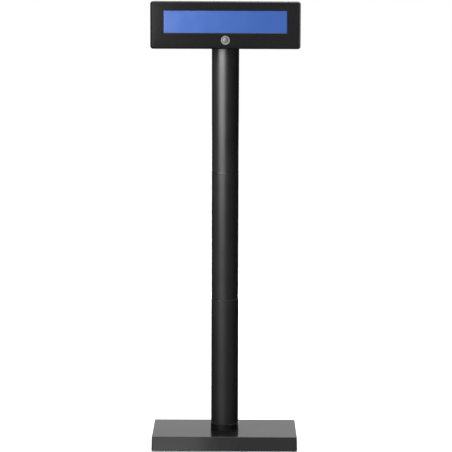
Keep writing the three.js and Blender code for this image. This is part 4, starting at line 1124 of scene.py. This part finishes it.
JACK_MOUTH = (11.8 * MM, 7.4 * MM, 11 * MM)  # width, height and depth
JACK_LATCH = (6 * MM, 1.4 * MM)  # width and depth of its notch
JACK_CONTACTS = 8
CONTACT_PITCH = 1.02 * MM
CONTACT_RADIUS = 0.22 * MM


def build_jack():
    """The modular socket, with its latch notch below and eight sprung contacts above."""
    width, height, depth = JACK_MOUTH
    middle = (JACK_LOW.z + JACK_HIGH.z) / 2
    inside = JACK_HIGH.y - depth
    outside = JACK_HIGH.y + OVERCUT
    body = box_cutter(JACK_LOW, JACK_HIGH)
    notch, drop = JACK_LATCH
    combine(body, [box_cutter((-width / 2, inside, middle - height / 2),
                              (width / 2, outside, middle + height / 2))])
    combine(body, [box_cutter((-notch / 2, inside, middle - height / 2 - drop),
                              (notch / 2, outside, middle))])
    soften(body, 0.25 * MM)
    finish_piece(body, "data_jack_fine", "chip", "root", ["data_jack"])
    contacts = []
    top = middle + height / 2
    for index in range(JACK_CONTACTS):
        x = (index - (JACK_CONTACTS - 1) / 2) * CONTACT_PITCH
        route = [(x, JACK_HIGH.y - 3 * MM, top - 0.3 * MM), (x, JACK_HIGH.y - 4.5 * MM, top - 0.4 * MM),
                 (x, inside + 3 * MM, top - 2.3 * MM), (x, inside + 0.4 * MM, top - 3.2 * MM)]
        contacts.append(tube("contact", route, CONTACT_RADIUS, 8))
    finish_piece(gathered(contacts), "jack_contacts", "gold", "root")


def build_hinge_lead():
    """The lead from the neck's bore into the head, bent over the hinge's axis."""
    bend = LEAD_BEND
    straight = 12  # steps along each straight stretch
    low = POLE_TOP + GAP
    turn = TILT_AXIS.z - bend
    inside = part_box("head_lead")[0].y
    route = [(0, 0, low + (turn - low) * i / straight) for i in range(straight)]
    route += [(0, y - bend, turn + z) for y, z in arc((0, 0), bend, 0, 90, 14)]
    route += [(0, -bend + (inside + bend) * i / straight, TILT_AXIS.z) for i in range(1, straight + 1)]
    lead = tube("lead", route, LEAD_RADIUS, 20)
    finish_piece(lead, "hinge_lead", "lead", None, ["neck_lead", "head_lead"])
    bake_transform(lead)


def build_pieces():
    build_housing()
    build_window()
    build_badge()
    build_rear_shell()
    build_base_shell()
    build_bottom_cover()
    build_feet()
    build_collar()
    build_pole_sections()
    build_bush()
    build_neck()
    build_bracket()
    for side, word in ((-1, "left"), (1, "right")):
        build_tilt_bolt(side, word)
        build_hinge_stack(side, word)
    build_screws()
    build_jack()
    build_hinge_lead()


build_pieces()


# ---- CAD nodes that keep their meshes ----

# The slots whose material has another name.
SLOT_MATERIALS = {
    "black_plastic": "housing",
    "base_plastic": "base",
    "pole_plastic": "pole",
    "blue_filter": "window",
    "plated_steel": "plated",
    "dark_steel": "casting",
    "circuit_board": "board",
}


def dress_nodes():
    for part in frame["record"]["subparts"]:
        name = part["material_slot"]
        for slot in frame["nodes"][part["node"]].material_slots:
            slot.material = MATERIALS[SLOT_MATERIALS.get(name, name)]


dress_nodes()


def link_lights():
    """Keeps each linked light to its own pieces, or to those that no other light is kept to."""
    shown = {name for light, names in linked_lights for name in names}
    meshes = [obj.name for obj in bpy.context.scene.objects if obj.type == "MESH"]
    others = [name for name in meshes if name not in shown]
    for light, names in linked_lights:
        lit = bpy.data.collections.new(f"lit_by_{light.name}")
        for name in names or others:
            lit.objects.link(bpy.data.objects[name])
        light.light_linking.receiver_collection = lit


link_lights()
